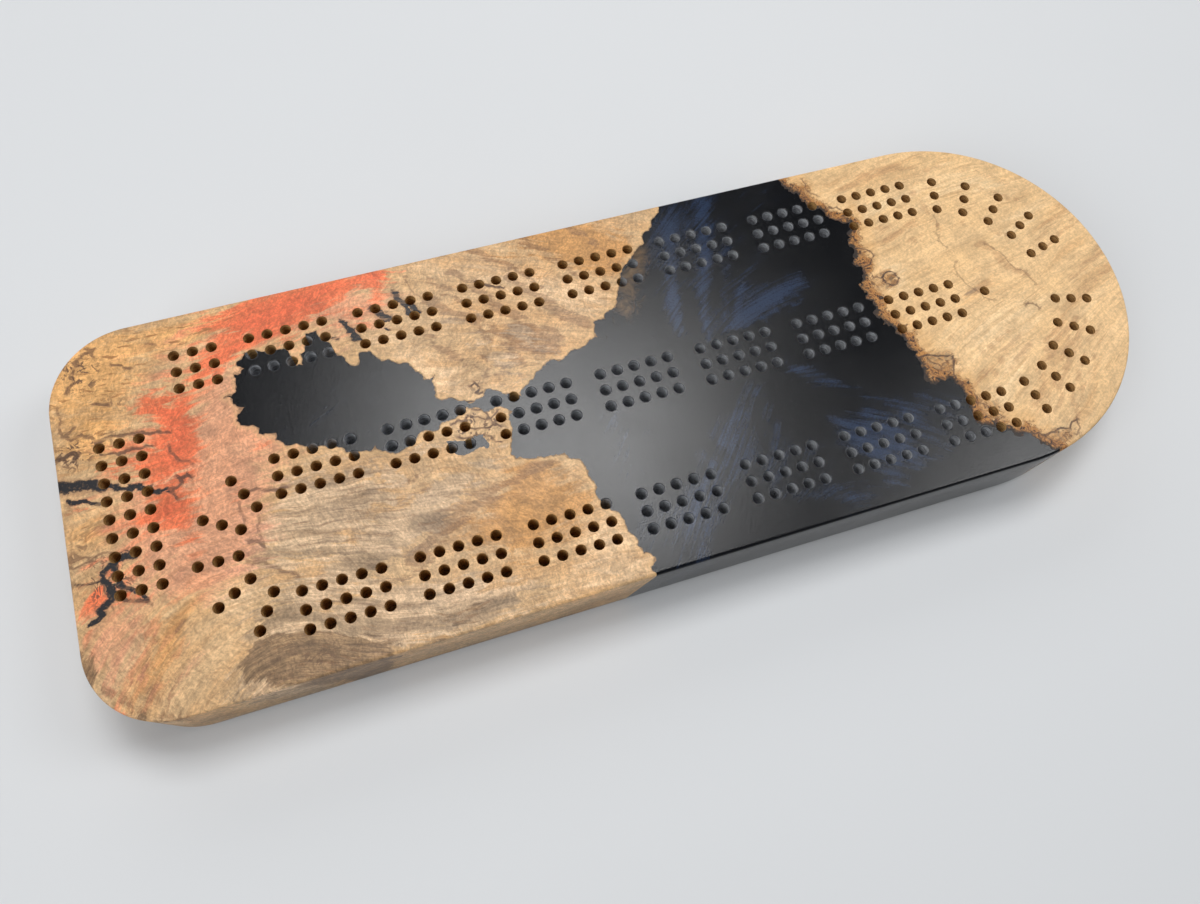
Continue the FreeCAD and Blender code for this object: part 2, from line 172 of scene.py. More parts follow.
def board_rim(corner, step=2.0):
    """Points round the board's outline and their outward normals: each corner and the round end are
    centre plus radius times (cos t, sin t), and straight runs lie between them."""
    w = HALF_WIDTH
    left = SQUARE_END + corner
    points, normals = [], []

    def arc(centre, radius, start, end):
        count = int(abs(math.radians(end - start)) * radius / (0.75 * step))
        turn = np.radians(np.linspace(start, end, count, endpoint=False))
        out = np.stack([np.cos(turn), np.sin(turn)], -1)
        points.append(np.array(centre) + radius * out)
        normals.append(out)

    def run(a, b, normal):
        count = int(math.dist(a, b) / step)
        t = np.linspace(0, 1, count, endpoint=False)[:, None]
        points.append(np.array(a) * (1 - t) + np.array(b) * t)
        normals.append(np.repeat([normal], count, 0))

    arc((ROUND_END, 0), w, -90, 90)
    run((ROUND_END, w), (left, w), (0, 1))
    arc((left, w - corner), corner, 90, 180)
    run((SQUARE_END, w - corner), (SQUARE_END, corner - w), (-1, 0))
    arc((left, corner - w), corner, 180, 270)
    run((left, -w), (ROUND_END, -w), (0, -1))
    return np.concatenate(points), np.concatenate(normals)


def inset_of(xy, corner):
    """How far points lie inside the outline: width minus distance, by the nearest straight side or arc
    centre."""
    x, y = xy[:, 0], np.abs(xy[:, 1])
    inset = np.minimum(HALF_WIDTH - y, x - SQUARE_END)
    in_corner = (x < SQUARE_END + corner) & (y > HALF_WIDTH - corner)
    to_corner = corner - np.hypot(x - SQUARE_END - corner, y - HALF_WIDTH + corner)
    inset = np.where(in_corner, to_corner, inset)
    return np.where(x > ROUND_END, HALF_WIDTH - np.hypot(x - ROUND_END, y), inset)


def flat_top_edges(node):
    """The segments, as (m, 2, 2), that bound the flat top of a CAD node: those on only one of its
    triangles."""
    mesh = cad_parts[node].data
    mesh.calc_loop_triangles()
    points = np.empty(3 * len(mesh.vertices), np.float32)
    mesh.vertices.foreach_get("co", points)
    triangles = np.empty(3 * len(mesh.loop_triangles), np.int32)
    mesh.loop_triangles.foreach_get("vertices", triangles)
    corners = points.reshape(-1, 3)[triangles.reshape(-1, 3)] / MM
    flat = corners[np.abs(corners[:, :, 2] - TOP).max(1) < 0.01][:, :, :2]
    places, ids = np.unique(np.round(flat.reshape(-1, 2), 2), axis=0, return_inverse=True)
    ids = ids.reshape(-1, 3)
    pairs = np.sort(np.concatenate([ids[:, [0, 1]], ids[:, [1, 2]], ids[:, [2, 0]]]), 1)
    sides, count = np.unique(pairs, axis=0, return_counts=True)
    return places[sides[count == 1]]


def joint_between(a, b, holes):
    """The line along which two slabs meet on the top: the edges that both have, and the straight pieces
    that carry it across each hole, where it leaves two loose ends, and out past the board's sides."""
    edges, others = flat_top_edges(a), flat_top_edges(b)
    apart = np.abs(edges.mean(1)[:, None] - others.mean(1)[None]).max(2)
    shared = edges[apart.min(1) < SAME_PLACE]
    if not len(shared):
        raise RuntimeError(f"{a} and {b} don't meet on the top")
    ends = shared.reshape(-1, 2)
    _, ids, count = np.unique(np.round(ends, 1), axis=0, return_inverse=True, return_counts=True)
    loose = ends[count[ids.ravel()] == 1]
    at_side = np.abs(loose[:, 1]) > HALF_WIDTH - 2
    outer, inner = loose[at_side], loose[~at_side]
    outward = np.stack([outer, outer * (1, 1.1)], 1)
    owner = np.hypot(*(inner[:, None] - holes[None]).T).argmin(0)
    across_holes = inner[np.argsort(owner, kind="stable")].reshape(-1, 2, 2)
    return shared, np.concatenate([outward, across_holes])


def jagged(edges, shortest, roughness, seed):
    """Breaks each segment at its middle, moved sideways by a share of its length, until none is long."""
    chance = np.random.default_rng(seed)
    for _ in range(6):
        along = edges[:, 1] - edges[:, 0]
        length = np.hypot(*along.T)
        long = length > 2 * shortest
        push = np.clip(chance.normal(size=len(edges)), -1.6, 1.6) * roughness
        middle = edges.mean(1) + along[:, ::-1] * (-1, 1) * push[:, None]
        halves = np.concatenate([
            np.stack([edges[long, 0], middle[long]], 1),
            np.stack([middle[long], edges[long, 1]], 1),
        ])
        edges = np.concatenate([edges[~long], halves])
    return edges


def measured(points, measure):
    """What measure(x, y) finds at each point, a batch at a time, with x and y as columns."""
    batches = (points[i:i + BATCH].astype(np.float32) for i in range(0, len(points), BATCH))
    return np.concatenate([measure(p[:, :1], p[:, 1:]) for p in batches])


def crossings(points, edges):
    """How many segments a ray from each point towards -X crosses: it crosses one where the segment has an
    end on both sides of it and x lies beyond ax + (y - ay) * slope."""
    (ax, ay), (bx, by) = edges.astype(np.float32).transpose(1, 2, 0)
    slope = (bx - ax) / np.where(by == ay, 1, by - ay)
    return measured(points, lambda x, y: (((ay > y) != (by > y)) & (ax + (y - ay) * slope < x)).sum(1))


def nearest(points, targets):
    """Distance from each point to the nearest target: the least sqrt((x - tx)^2 + (y - ty)^2)."""
    tx, ty = targets.astype(np.float32).T
    return measured(points, lambda x, y: np.sqrt(((x - tx) ** 2 + (y - ty) ** 2).min(1))).astype(float)


def smooth(value, low, high):
    """Smooth step from 0 at low to 1 at high."""
    t = np.clip((value - low) / (high - low), 0, 1)
    return t * t * (3 - 2 * t)


def chain(points):
    """Consecutive points as segments."""
    points = np.asarray(points, float)
    return np.stack([points[:-1], points[1:]], 1)


def finer(points, step):
    """The same line with more points on it, no further apart than a step."""
    points = np.asarray(points, float)
    parts = [
        np.linspace(a, b, max(1, math.ceil(math.dist(a, b) / step)), endpoint=False)
        for a, b in zip(points[:-1], points[1:])
    ]
    return np.concatenate([*parts, points[-1:]])


def rounded_bay(half, end, radius):
    """A bay open at the square end: two straight sides and two round inner corners, as short segments."""
    turn = np.radians(np.linspace(0, 90, 6))
    corner = np.stack([end - radius + radius * np.cos(turn), half - radius + radius * np.sin(turn)], -1)
    side = np.concatenate([corner, [(SQUARE_END - 3, half)]])
    return chain(finer(np.concatenate([side[::-1], side * (1, -1)]), 2.0))


def inside_bay(xy, half, end, radius):
    """Whether points lie in such a bay."""
    y = np.abs(xy[:, 1])
    over = np.hypot(np.maximum(xy[:, 0] - end + radius, 0), np.maximum(y - half + radius, 0))
    return (over < radius) & (xy[:, 0] < end) & (y < half)


# ---- the slabs -----------------------------------------------------------------------------------
JOINT_SHORTEST = 0.45  # most of a joint's roughened segments are between this and twice this long
# Rings round a hole: how far each lies beyond the hole's radius, and how far the rim drops there.
RIM_RINGS = ((0.0, 0.10), (0.08, 0.03), (0.20, 0.0), (0.30, 0.0))
# Insets of the rings that the board's edge is rounded over.
EDGE_RINGS = (0.01, 0.10, 0.28, 0.52, 0.85, 1.15)
ROWS_BESIDE = (-1.3, -0.5, 0.5, 1.3)  # how far the rows of points on both sides of a dark line lie from it
HOLE_CLEARANCE = 0.7  # least distance from a hole's edge to a loose point
INSIDE_HOLE = 0.985  # share of a hole's radius within which the middles of its own triangles lie
LEAN_REACH = 15  # how far along the board a leaning joint takes its surroundings with it
BAY_PLAY = 0.4  # between the drawer and the bay's sides and roof
BAY_CORNER = 3.0
COVER_PLAY = 0.15  # between the cover and its recess
COVER_CORNER = 6.0
HOLE_DEPTH = 8.5
# Heights between which each slab is filled or not: the cover, the drawer's bay, the wood over it, the wood
# under the holes beside the resin pocket, and the layer that the holes go through.
LEVELS = np.array([
    UNDERSIDE,
    span("bay_cover")[1][2],
    DRAWER_HIGH[2] + BAY_PLAY,
    span("resin_pocket")[0][2],
    TOP - HOLE_DEPTH,
    TOP,
])
LAYERS = len(LEVELS) - 1
COVER_LAYER, BAY_LAYER, POCKET_LAYER, HOLE_LAYER = 0, 1, 3, 4


def edge_drop(inset, radius):
    """Fall of a quarter round from the edge inwards: r - sqrt(r^2 - (r - inset)^2)."""
    t = np.clip(radius - inset, 0, radius)
    return radius - np.sqrt(radius ** 2 - t ** 2)


class BoardPlan:
    """The top view of the board, cut into triangles by its outline, holes, joints, bay and dark lines.

    points (n, 2) and triangles (m, 3) in millimetres; cells maps each slab's name to an (m, 5) table
    that says which of the five layers between LEVELS that slab fills above or below each triangle."""

    def __init__(self, sizes):
        self.sizes = sizes
        self.corner = sizes.corner_radius / MM
        self.edge = sizes.edge_round / MM
        self.hole_radius = sizes.hole_diameter / MM / 2
        self.holes = peg_holes(sizes)
        cover_high = span("bay_cover")[1]
        self.bays = (
            (DRAWER_HIGH[1] + BAY_PLAY, span("bay_magnet")[0][0], BAY_CORNER),
            (cover_high[1] + COVER_PLAY, cover_high[0] + COVER_PLAY, COVER_CORNER),
        )
        self.joints = {
            "left": self.read_joint("burl_left", "resin", 0.13, 3),
            "bark": self.read_joint("burl_right", "resin", 0.20, 5),
            "pocket": self.read_joint("resin_pocket", "burl_left", 0.13, 7),
        }
        self.triangulate()
        self.fill()

    def read_joint(self, a, b, roughness, seed):
        """The segments along which two slabs meet, roughened below the length that CAD keeps."""
        shared, carried = joint_between(a, b, self.holes)
        return np.concatenate([jagged(shared, JOINT_SHORTEST, roughness, seed), carried])

    def triangulate(self):
        """Cuts the plan with one constrained Delaunay triangulation of rings, joints, bays and a loose
        grid."""
        rim, normals = board_rim(self.corner)
        turn = np.linspace(0, 2 * math.pi, self.sizes.hole_edges, endpoint=False)
        circle = np.stack([np.cos(turn), np.sin(turn)], -1)
        closed = [(rim - normals * inset)[None] for inset in EDGE_RINGS]
        closed += [self.holes[:, None] + circle * (self.hole_radius + beyond) for beyond, _ in RIM_RINGS]
        dark = [segments for _, _, _, segments in dark_lines()]
        lines = [*self.joints.values(), *(rounded_bay(*bay) for bay in self.bays), *dark]
        points, edges, total = [], [], 0
        for group in closed + lines:
            ids = total + np.arange(group.shape[0] * group.shape[1]).reshape(group.shape[:2])
            is_line = ids.shape[1] == 2
            points.append(group.reshape(-1, 2))
            edges.append(ids if is_line else np.stack([ids, np.roll(ids, -1, 1)], -1).reshape(-1, 2))
            total += ids.size
        points.append(self.loose_points(dark))
        flat = np.concatenate(points)
        pairs = np.concatenate(edges).tolist()
        made = delaunay_2d_cdt([Vector(p) for p in flat.tolist()], pairs, [], 0, 1e-5, False)
        self.points = np.array([tuple(v) for v in made[0]])
        triangles = np.array(made[2])
        corners = self.points[triangles]
        turned = np.cross(corners[:, 1] - corners[:, 0], corners[:, 2] - corners[:, 0]) < 0
        triangles[turned] = triangles[turned][:, ::-1]
        self.middles = corners.mean(1)
        kept = inset_of(self.middles, self.corner) > EDGE_RINGS[0] * 0.5
        self.triangles = triangles[kept]
        self.middles = self.middles[kept]

    def loose_points(self, dark):
        """A staggered grid clear of holes and edges, and rows of points beside each dark line."""
        step = self.sizes.grid_step / MM
        rows = step * 0.87
        grid = lattice(np.arange(SQUARE_END, -SQUARE_END, step), np.arange(-HALF_WIDTH, HALF_WIDTH, rows))
        grid[:, 0] += (np.round((grid[:, 1] + HALF_WIDTH) / rows) % 2) * step / 2
        beside = []
        for segments in dark:
            along = segments[:, 1] - segments[:, 0]
            out = along[:, ::-1] * (-1, 1) / np.hypot(*along.T)[:, None]
            middle = segments.mean(1)
            beside += [middle + out * shift for shift in ROWS_BESIDE]
        free = np.concatenate([grid, *beside])
        clear = nearest(free, self.holes) > self.hole_radius + HOLE_CLEARANCE
        return free[clear & (inset_of(free, self.corner) > EDGE_RINGS[-1] + 0.5)]

    def fill(self):
        """Tells which layers each slab fills over each triangle."""
        middles = self.middles
        left = crossings(middles, self.joints["left"]) % 2 == 0
        right = crossings(middles, self.joints["bark"]) % 2 == 1
        pocket = crossings(middles, self.joints["pocket"]) % 2 == 1
        self.in_hole = nearest(middles, self.holes) < self.hole_radius * INSIDE_HOLE
        layers = np.ones((len(middles), LAYERS), bool)
        in_bay, over_cover = (inside_bay(middles, *bay) for bay in self.bays)
        layers[in_bay, :BAY_LAYER + 1] = False
        layers[over_cover, COVER_LAYER] = False
        layers[self.in_hole, HOLE_LAYER] = False
        above_pocket = np.arange(LAYERS) >= POCKET_LAYER
        self.cells = {
            "burl_left": layers & left[:, None] & ~(pocket[:, None] & above_pocket),
            "burl_right": layers & right[:, None],
            "resin": layers & ~left[:, None] & ~right[:, None],
            "resin_pocket": layers & left[:, None] & pocket[:, None] & above_pocket,
        }

    def place(self, ids, levels):
        """Where points go in space: their level, less the fall at the edge and at a hole's rim, and
        moved back along the board below the top where the left joint meets a side."""
        xy = self.points[ids]
        height = LEVELS[levels].copy()
        inset = inset_of(xy, self.corner)
        fall = edge_drop(inset, self.edge)
        beyond = nearest(xy, self.holes) - self.hole_radius
        rim = np.interp(beyond, [r for r, _ in RIM_RINGS], [d for _, d in RIM_RINGS])
        rim[beyond < -0.02] = 0
        top, bottom = levels == LAYERS, levels == 0
        height[top] -= np.maximum(fall, rim)[top]
        height[bottom] += fall[bottom]
        lean = self.sizes.joint_lean * smooth(np.abs(xy[:, 1]), self.holes[:, 1].max() + 2, HALF_WIDTH - 4)
        ends = self.joints["left"].reshape(-1, 2)
        near_end = ends[ends[:, 1].argmin()][0]
        far_end = ends[ends[:, 1].argmax()][0]
        off = xy[:, 0] - np.where(xy[:, 1] < 0, near_end, far_end)
        moved = lean * np.exp(-(off / LEAN_REACH) ** 2) * (TOP - height)
        return np.column_stack([xy[:, 0] - moved, xy[:, 1], height])


def build_slab(plan, name, piece_name):
    """Skins one slab: a cap wherever a filled layer has none above or below it, and a wall wherever it
    has none beside it, over every triangle of the plan. Returns the object, with the plan's point
    behind each vertex."""
    cells = plan.cells[name]
    tri = plan.triangles
    padded = np.pad(cells, ((0, 0), (1, 1)))
    caps = []
    levels = len(LEVELS)
    for level in range(levels):
        top = padded[:, level] & ~padded[:, level + 1]
        under = padded[:, level + 1] & ~padded[:, level]
        caps.append((tri[top] * levels + level, top, level))
        caps.append((tri[under][:, ::-1] * levels + level, under, level))
    sides = np.concatenate([tri[:, [0, 1]], tri[:, [1, 2]], tri[:, [2, 0]]])
    owner = np.tile(np.arange(len(tri)), 3)
    count = len(plan.points)
    key = sides[:, 0] * count + sides[:, 1]
    back = sides[:, 1] * count + sides[:, 0]
    order = np.argsort(key)
    spot = np.clip(np.searchsorted(key[order], back), 0, len(key) - 1)
    found = key[order][spot] == back
    across = np.zeros((len(sides), LAYERS), bool)
    across[found] = cells[owner[order[spot[found]]]]
    hole_beyond = np.zeros(len(sides), bool)
    hole_beyond[found] = plan.in_hole[owner[order[spot[found]]]]
    walls, drilled = [], []
    for layer in range(LAYERS):
        open_side = cells[owner][:, layer] & ~across[:, layer]
        a, b = sides[open_side].T * levels + layer
        walls.append(np.stack([b + 1, a + 1, a, b], -1))
        drilled.append(hole_beyond[open_side] & (layer == HOLE_LAYER))
    faces = np.concatenate([f for f, _, _ in caps])
    floor = [plan.in_hole[kept] & (level == HOLE_LAYER) for _, kept, level in caps]
    walls = np.concatenate(walls)
    used, flat = np.unique(np.concatenate([faces.ravel(), walls.ravel()]), return_inverse=True)
    flat = flat.ravel()
    ids = used // levels
    mesh = bpy.data.meshes.new(piece_name)
    loops = np.concatenate([np.full(len(faces), 3), np.full(len(walls), 4)])
    write_mesh(mesh, plan.place(ids, used % levels), flat, loops)
    slots = np.concatenate([*floor, *drilled]).astype(np.int32)
    mesh.polygons.foreach_set("material_index", slots)
    mesh.set_sharp_from_angle(angle=SHARP_ANGLE)
    return shown(piece_name, mesh), plan.points[ids]


def write_mesh(mesh, places, corners, loops):
    """Fills a mesh from places in millimetres, one flat list of face corners and the length of each face."""
    starts = np.concatenate([[0], np.cumsum(loops)[:-1]]).astype(np.int32)
    mesh.vertices.add(len(places))
    mesh.vertices.foreach_set("co", (places * MM).astype(np.float32).ravel())
    mesh.loops.add(len(corners))
    mesh.loops.foreach_set("vertex_index", corners.astype(np.int32))
    mesh.polygons.add(len(loops))
    mesh.polygons.foreach_set("loop_start", starts)
    mesh.polygons.foreach_set("use_smooth", np.ones(len(loops), bool))
    mesh.update(calc_edges=True)
    if mesh.validate():
        raise RuntimeError(f"{mesh.name} has faces that don't hold together")


# ---- how the burl grew ---------------------------------------------------------------------------
# Dark lines: how dark, half width at the start and at the end, and the points that the line goes through.
LEFT_LINES = (
    (1.0, 1.9, 1.2, ((-163, 13.2), (-158, 11.4), (-151.4, 9.6))),
    (1.0, 1.2, 0.3, ((-151.4, 9.6), (-145.2, 7.6), (-140, 6), (-135.4, 4.5))),
    (0.8, 0.5, 0.45, ((-160.2, 8), (-156, 7), (-151.4, 5.4))),
    (0.55, 0.3, 0.5, ((-156.4, 29), (-159, 27.2), (-157.6, 25.4), (-154.6, 26.5), (-152.6, 25.4),
        (-151, 22.8))),
    (0.6, 0.6, 0.3, ((-151, 22.8), (-145, 23.2), (-140, 23), (-135, 21.9), (-131.6, 20.4))),
    (0.6, 0.5, 0.3, ((-150.6, 19.2), (-146, 18.1), (-143, 18.6), (-137, 18))),
    (0.5, 0.3, 0.3, ((-159.4, 31.8), (-159.8, 28.6), (-158.2, 26.2))),
    (0.65, 0.6, 0.5, ((-162.4, 20.2), (-159.6, 20.6), (-158, 22), (-156, 20.8), (-157.6, 19))),
    (0.5, 0.3, 0.2, ((-157, 21.6), (-154, 21), (-152.4, 20))),
    (0.5, 0.25, 0.25, ((-159.6, 19.4), (-158.6, 17.4), (-160.4, 18.4))),
    (0.55, 0.4, 0.3, ((-133, 17.2), (-132.8, 15), (-131.4, 13), (-130.2, 11.4), (-128.4, 11),
        (-127.4, 9.8))),
    (0.65, 0.5, 0.5, ((-132.2, 7.4), (-131, 6.2), (-129.6, 7.2), (-128.6, 6.4))),
    (0.6, 0.3, 0.4, ((-135, 4.4), (-132.6, 4), (-131.2, 5))),
    (0.6, 0.5, 0.3, ((-134.2, 3.4), (-133, 1))),
    (0.5, 0.35, 0.3, ((-147, -9), (-150.5, -10), (-154, -8.6), (-158, -8.4), (-162.4, -8.8))),
    (1.0, 0.6, 1.0, ((-146, -11.6), (-149.6, -11.4), (-152.2, -12.4), (-154.6, -13.8), (-154.4, -16.2),
        (-153, -18.4))),
    (1.0, 1.0, 0.6, ((-153, -18.4), (-151.8, -21), (-154.4, -22.6), (-156.2, -23.8), (-155.6, -25.2),
        (-159, -26.8))),
    (0.85, 0.7, 0.5, ((-151.6, -13), (-150.8, -15.6), (-150.4, -18), (-148.8, -19.8), (-147, -21.2),
        (-144.4, -23.8))),
    (0.65, 0.35, 0.3, ((-163, -15.4), (-160, -15.6), (-157, -16.2), (-155, -16))),
    (0.6, 0.5, 0.35, ((-151, -21.6), (-149, -23.4), (-146, -24), (-143.4, -25.6))),
    (0.5, 0.35, 0.35, ((-163, -7), (-160.6, -6.6), (-159.4, -8), (-161, -9))),
    (0.5, 0.3, 0.25, ((-162.6, -10.2), (-159.6, -10.6), (-157, -9.8), (-154.6, -10.8))),
    (0.55, 0.5, 0.4, ((-148, 52), (-150.4, 51), (-152.6, 50), (-154.2, 49), (-152.8, 47.8), (-154.4, 46.4))),
    (0.55, 0.5, 0.4, ((-154.4, 46.4), (-155.6, 44.6), (-154.4, 42.6), (-156.4, 41.4), (-157, 39.8))),
    (0.5, 0.4, 0.3, ((-150.6, 52.6), (-149.2, 50.6), (-148.6, 49.2))),
    (0.45, 0.3, 0.25, ((-159, 46.6), (-157.4, 48), (-156.4, 47))),
    (0.55, 0.4, 0.25, ((-144.4, 45.6), (-142.6, 45.2), (-141, 43.8), (-139.4, 43))),
    (0.55, 0.4, 0.25, ((-150, 34.8), (-148, 33.9), (-146.6, 33.4))),
    (0.5, 0.35, 0.25, ((-133.8, 49.8), (-131.8, 48.9))),
    (0.45, 0.3, 0.3, ((-160.2, 36), (-159.8, 33.8))),
    (0.95, 0.5, 1.3, ((-79.8, 42.5), (-78.6, 40.8), (-77.3, 38.2), (-76.8, 36.3))),
    (0.7, 0.5, 0.6, ((-83.2, 37.5), (-81.6, 36.9))),
    (0.9, 0.4, 0.3, ((-76.2, 37), (-75.2, 34.8))),
    (0.8, 0.9, 1.3, ((-70, 44), (-68.2, 41.4), (-66.4, 40.2))),
    (0.85, 0.4, 1.2, ((-62.7, 48), (-61.4, 44.4), (-60.4, 42.2), (-60, 39.8))),
    (0.85, 1.2, 0.4, ((-60, 43), (-58, 41.6), (-56.8, 39.2))),
    (0.8, 0.3, 0.25, ((-67.8, 36.6), (-66.8, 35.6))),
    (0.65, 0.6, 0.25, ((-38, 45), (-35.4, 43), (-32.6, 41.4), (-30.6, 40.4))),
    (0.4, 0.2, 0.2, ((-57.8, 52), (-57.2, 46.6), (-55, 43.6))),
    (0.75, 0.3, 0.3, ((-57.4, 9.5), (-55, 9.7), (-53.6, 8.4), (-52.2, 7.5), (-49, 7.1))),
    (0.65, 0.3, 0.25, ((-48.6, 11.8), (-47, 12.6), (-46, 10.6), (-47.8, 9.4), (-45.6, 9))),
    (0.6, 0.3, 0.25, ((-57, 1.6), (-54.6, 2.5), (-52.4, 1.5), (-51.8, 3.4))),
    (0.6, 0.3, 0.25, ((-55.8, -2.6), (-53.6, -3.5), (-51, -3.2), (-48.6, -3.9), (-46.8, -4.9))),
    (0.6, 0.3, 0.25, ((-50, 4.7), (-48.4, 4), (-46.6, 3), (-46, 1.5))),
    (0.6, 0.25, 0.25, ((-51, 2.6), (-48.8, 2), (-47, 0.5), (-47.7, -0.7))),
    (0.6, 0.25, 0.25, ((-51.8, -0.9), (-49.4, -1.5), (-46.8, -2.2), (-44.4, -1.6), (-42, -3))),
    (0.6, 0.25, 0.25, ((-45.6, 0.4), (-44, 1.4), (-42.8, 2.5))),
    (0.55, 0.25, 0.2, ((-45.4, -0.8), (-43.4, -0.4), (-41.4, -1.1))),
    (0.6, 0.3, 0.25, ((-47, -5.6), (-46, -6.8), (-44.4, -7.3))),
    (0.55, 0.6, 0.4, ((-115.6, -2), (-111, -2.7), (-106.6, -4.2), (-104.4, -3.6))),
    (0.45, 0.35, 0.3, ((-117.4, -5), (-117.2, -11))),
    (0.55, 0.6, 0.5, ((-117, -16.2), (-114.4, -16.8), (-113.4, -19))),
    (0.45, 0.5, 0.4, ((-118.4, -21.2), (-114, -22.8), (-110.6, -26.4), (-106.6, -28.8))),
    (0.4, 0.3, 0.3, ((-113.2, -10), (-113.4, -17))),
)
RIGHT_LINES = (
    (0.7, 0.28, 0.28, ((85.2, -16), (88, -15.6), (91.4, -17), (94, -17.7), (96.2, -18), (95.6, -20.2),
        (94.2, -23))),
    (0.65, 0.24, 0.21, ((94.2, -23), (93.8, -25.2), (94.8, -27.4))),
    (0.65, 0.24, 0.21, ((88, -17), (89.4, -19), (91, -20.5), (93.6, -19.6))),
    (0.65, 0.21, 0.21, ((86.4, -18.6), (87.6, -22), (90, -24.2))),
    (0.55, 0.21, 0.17, ((90.4, -22), (92.8, -22.8))),
    (0.8, 0.3, 0.24, ((86.2, 11), (87.6, 9.8), (89.6, 9.8), (90.9, 11.5))),
    (0.8, 0.3, 0.24, ((90.9, 11.5), (90.4, 13.7), (88.6, 14.8), (86.6, 14), (85.9, 12.2))),
    (0.65, 0.28, 0.24, ((81.6, 25.2), (85, 24), (86.4, 21.6), (84.2, 18.8), (81.6, 18.4))),
    (0.6, 0.24, 0.21, ((79.6, 16), (82.4, 16.6), (83, 14), (85.2, 13))),
    (0.7, 0.35, 0.24, ((75.6, 39), (78, 37.9), (80.4, 36.6), (83, 37.2))),
    (0.65, 0.28, 0.21, ((79, 42), (81.6, 41.4), (83.2, 39.4))),
    (0.6, 0.24, 0.21, ((74.6, 54.4), (74.4, 50.6), (77, 47.4))),
    (0.6, 0.24, 0.21, ((71.4, 52), (73.2, 49.6), (73.6, 46.6))),
    (0.7, 0.28, 0.24, ((106, -48), (112, -50), (117, -49.4), (121, -50.2), (124.6, -48.2))),
    (0.6, 0.24, 0.21, ((124.6, -48.2), (124.2, -51), (122, -52.8))),
    (0.6, 0.21, 0.17, ((112.6, -51), (115, -53), (118, -51.8))),
    (0.6, 0.21, 0.21, ((96.4, -34.6), (99.6, -37.6), (102.4, -41), (99.4, -42))),
    (0.22, 0.28, 0.21, ((124, 16), (127.6, 12), (129, 7), (132.6, 3), (134, -2))),
    (0.18, 0.24, 0.17, ((111.6, 12), (111, 6), (113.6, 1), (118, -4))),
    (0.15, 0.21, 0.17, ((112, 30), (110, 24), (111, 18))),
    (0.6, 0.32, 0.14, ((127.2, -8), (129.6, -8.3), (131.2, -10.6))),
)
# Soft brown or grey streaks, told in the same way.
LEFT_STREAKS = (
    (0.9, 2.2, 1.4, ((-53, 41.6), (-49, 37.6), (-44, 34.4), (-40, 31))),
    (0.9, 1.5, 2.6, ((-40, 31), (-35, 25.4), (-30, 20.8), (-23, 18))),
    (0.8, 1.4, 1.0, ((-57, 32.4), (-54, 25.6), (-50, 21.4), (-46, 18), (-41.4, 15.6))),
    (0.8, 1.1, 0.6, ((-38.8, 17.2), (-36, 13), (-33, 10.4))),
    (0.8, 1.0, 0.5, ((-35.6, 18.4), (-32.4, 13.4))),
    (0.6, 1.1, 0.7, ((-40.4, 12.6), (-37.6, 9.6))),
    (0.7, 1.1, 0.7, ((-48, 46.6), (-45, 41.4), (-42, 37.4))),
    (0.85, 1.4, 2.2, ((-45, 50.6), (-41, 46), (-36, 38), (-31, 31), (-27, 24), (-21, 18.6))),
    (0.75, 1.4, 2.0, ((-28, 44), (-20, 33), (-14, 26), (-9, 21.6))),
    (0.9, 0.5, 0.8, ((-55, 28), (-50, 23.4), (-46.4, 18.6), (-43, 13.4))),
    (0.9, 0.5, 0.9, ((-43.6, 30.6), (-38.4, 24.6), (-34.4, 19), (-31.4, 13.8))),
    (0.85, 0.5, 0.9, ((-34, 33.6), (-29, 27), (-25, 21.4), (-20.6, 17))),
    (0.85, 0.4, 0.7, ((-26.4, 31), (-22.4, 25.6), (-18.6, 19.4))),
    (0.85, 0.4, 0.8, ((-44, 21.6), (-40, 17), (-37.4, 12.4))),
    (0.8, 0.4, 0.8, ((-51.6, 50), (-48, 44.4), (-44.4, 40))),
    (0.8, 0.4, 0.9, ((-30, 52), (-24.4, 45), (-20, 38.4))),
    (0.85, 0.5, 1.2, ((-84, -20), (-76, -16.4), (-66, -14.6))),
    (0.85, 0.5, 1.0, ((-71, -19), (-62, -18), (-54, -16.6))),
    (0.8, 0.5, 1.0, ((-88, -10), (-79, -12), (-70, -11))),
    (0.85, 0.6, 1.3, ((-88, -30.6), (-76, -27.4), (-64, -22.4), (-54, -20))),
    (0.7, 1.6, 1.2, ((-22, 57), (-14, 48), (-8, 39.4))),
    (0.5, 1.5, 1.0, ((-37, 57), (-28, 47))),
    (0.4, 1.4, 1.2, ((-6, 57), (2, 47.6), (8, 37.6))),
    (0.8, 1.4, 2.6, ((-33, -16.6), (-46, -19.8), (-56, -23), (-66, -27), (-76, -33.4))),
    (0.75, 1.8, 2.6, ((-62, -16), (-72, -20), (-82, -24.4), (-92, -27))),
    (0.7, 2.2, 2.0, ((-60, -48), (-72, -46), (-84, -50), (-94, -53))),
    (0.5, 2.4, 1.4, ((-70, -35), (-84, -38.4), (-96, -44))),
    (0.7, 0.9, 0.7, ((-153, -48), (-146, -38.4), (-140, -30.6))),
    (0.75, 1.0, 0.7, ((-149, -51), (-141, -39.4), (-136, -31.4))),
    (0.6, 0.8, 0.6, ((-143, -51), (-137, -41.6), (-131, -33))),
    (0.5, 0.8, 0.6, ((-137, -25), (-134.6, -19), (-131.6, -16.6))),
    (0.55, 1.4, 0.8, ((-161, 6), (-152, 2.4), (-144, 0.4), (-136, 1.6))),
    (0.5, 1.0, 0.8, ((-162, 2), (-152, -2), (-146, -3.4))),
    (0.5, 0.9, 0.9, ((-162, 38), (-161, 30), (-162, 24))),
    (0.6, 1.4, 1.0, ((-140, -57), (-150, -52), (-158, -43.6), (-161.6, -35))),
)
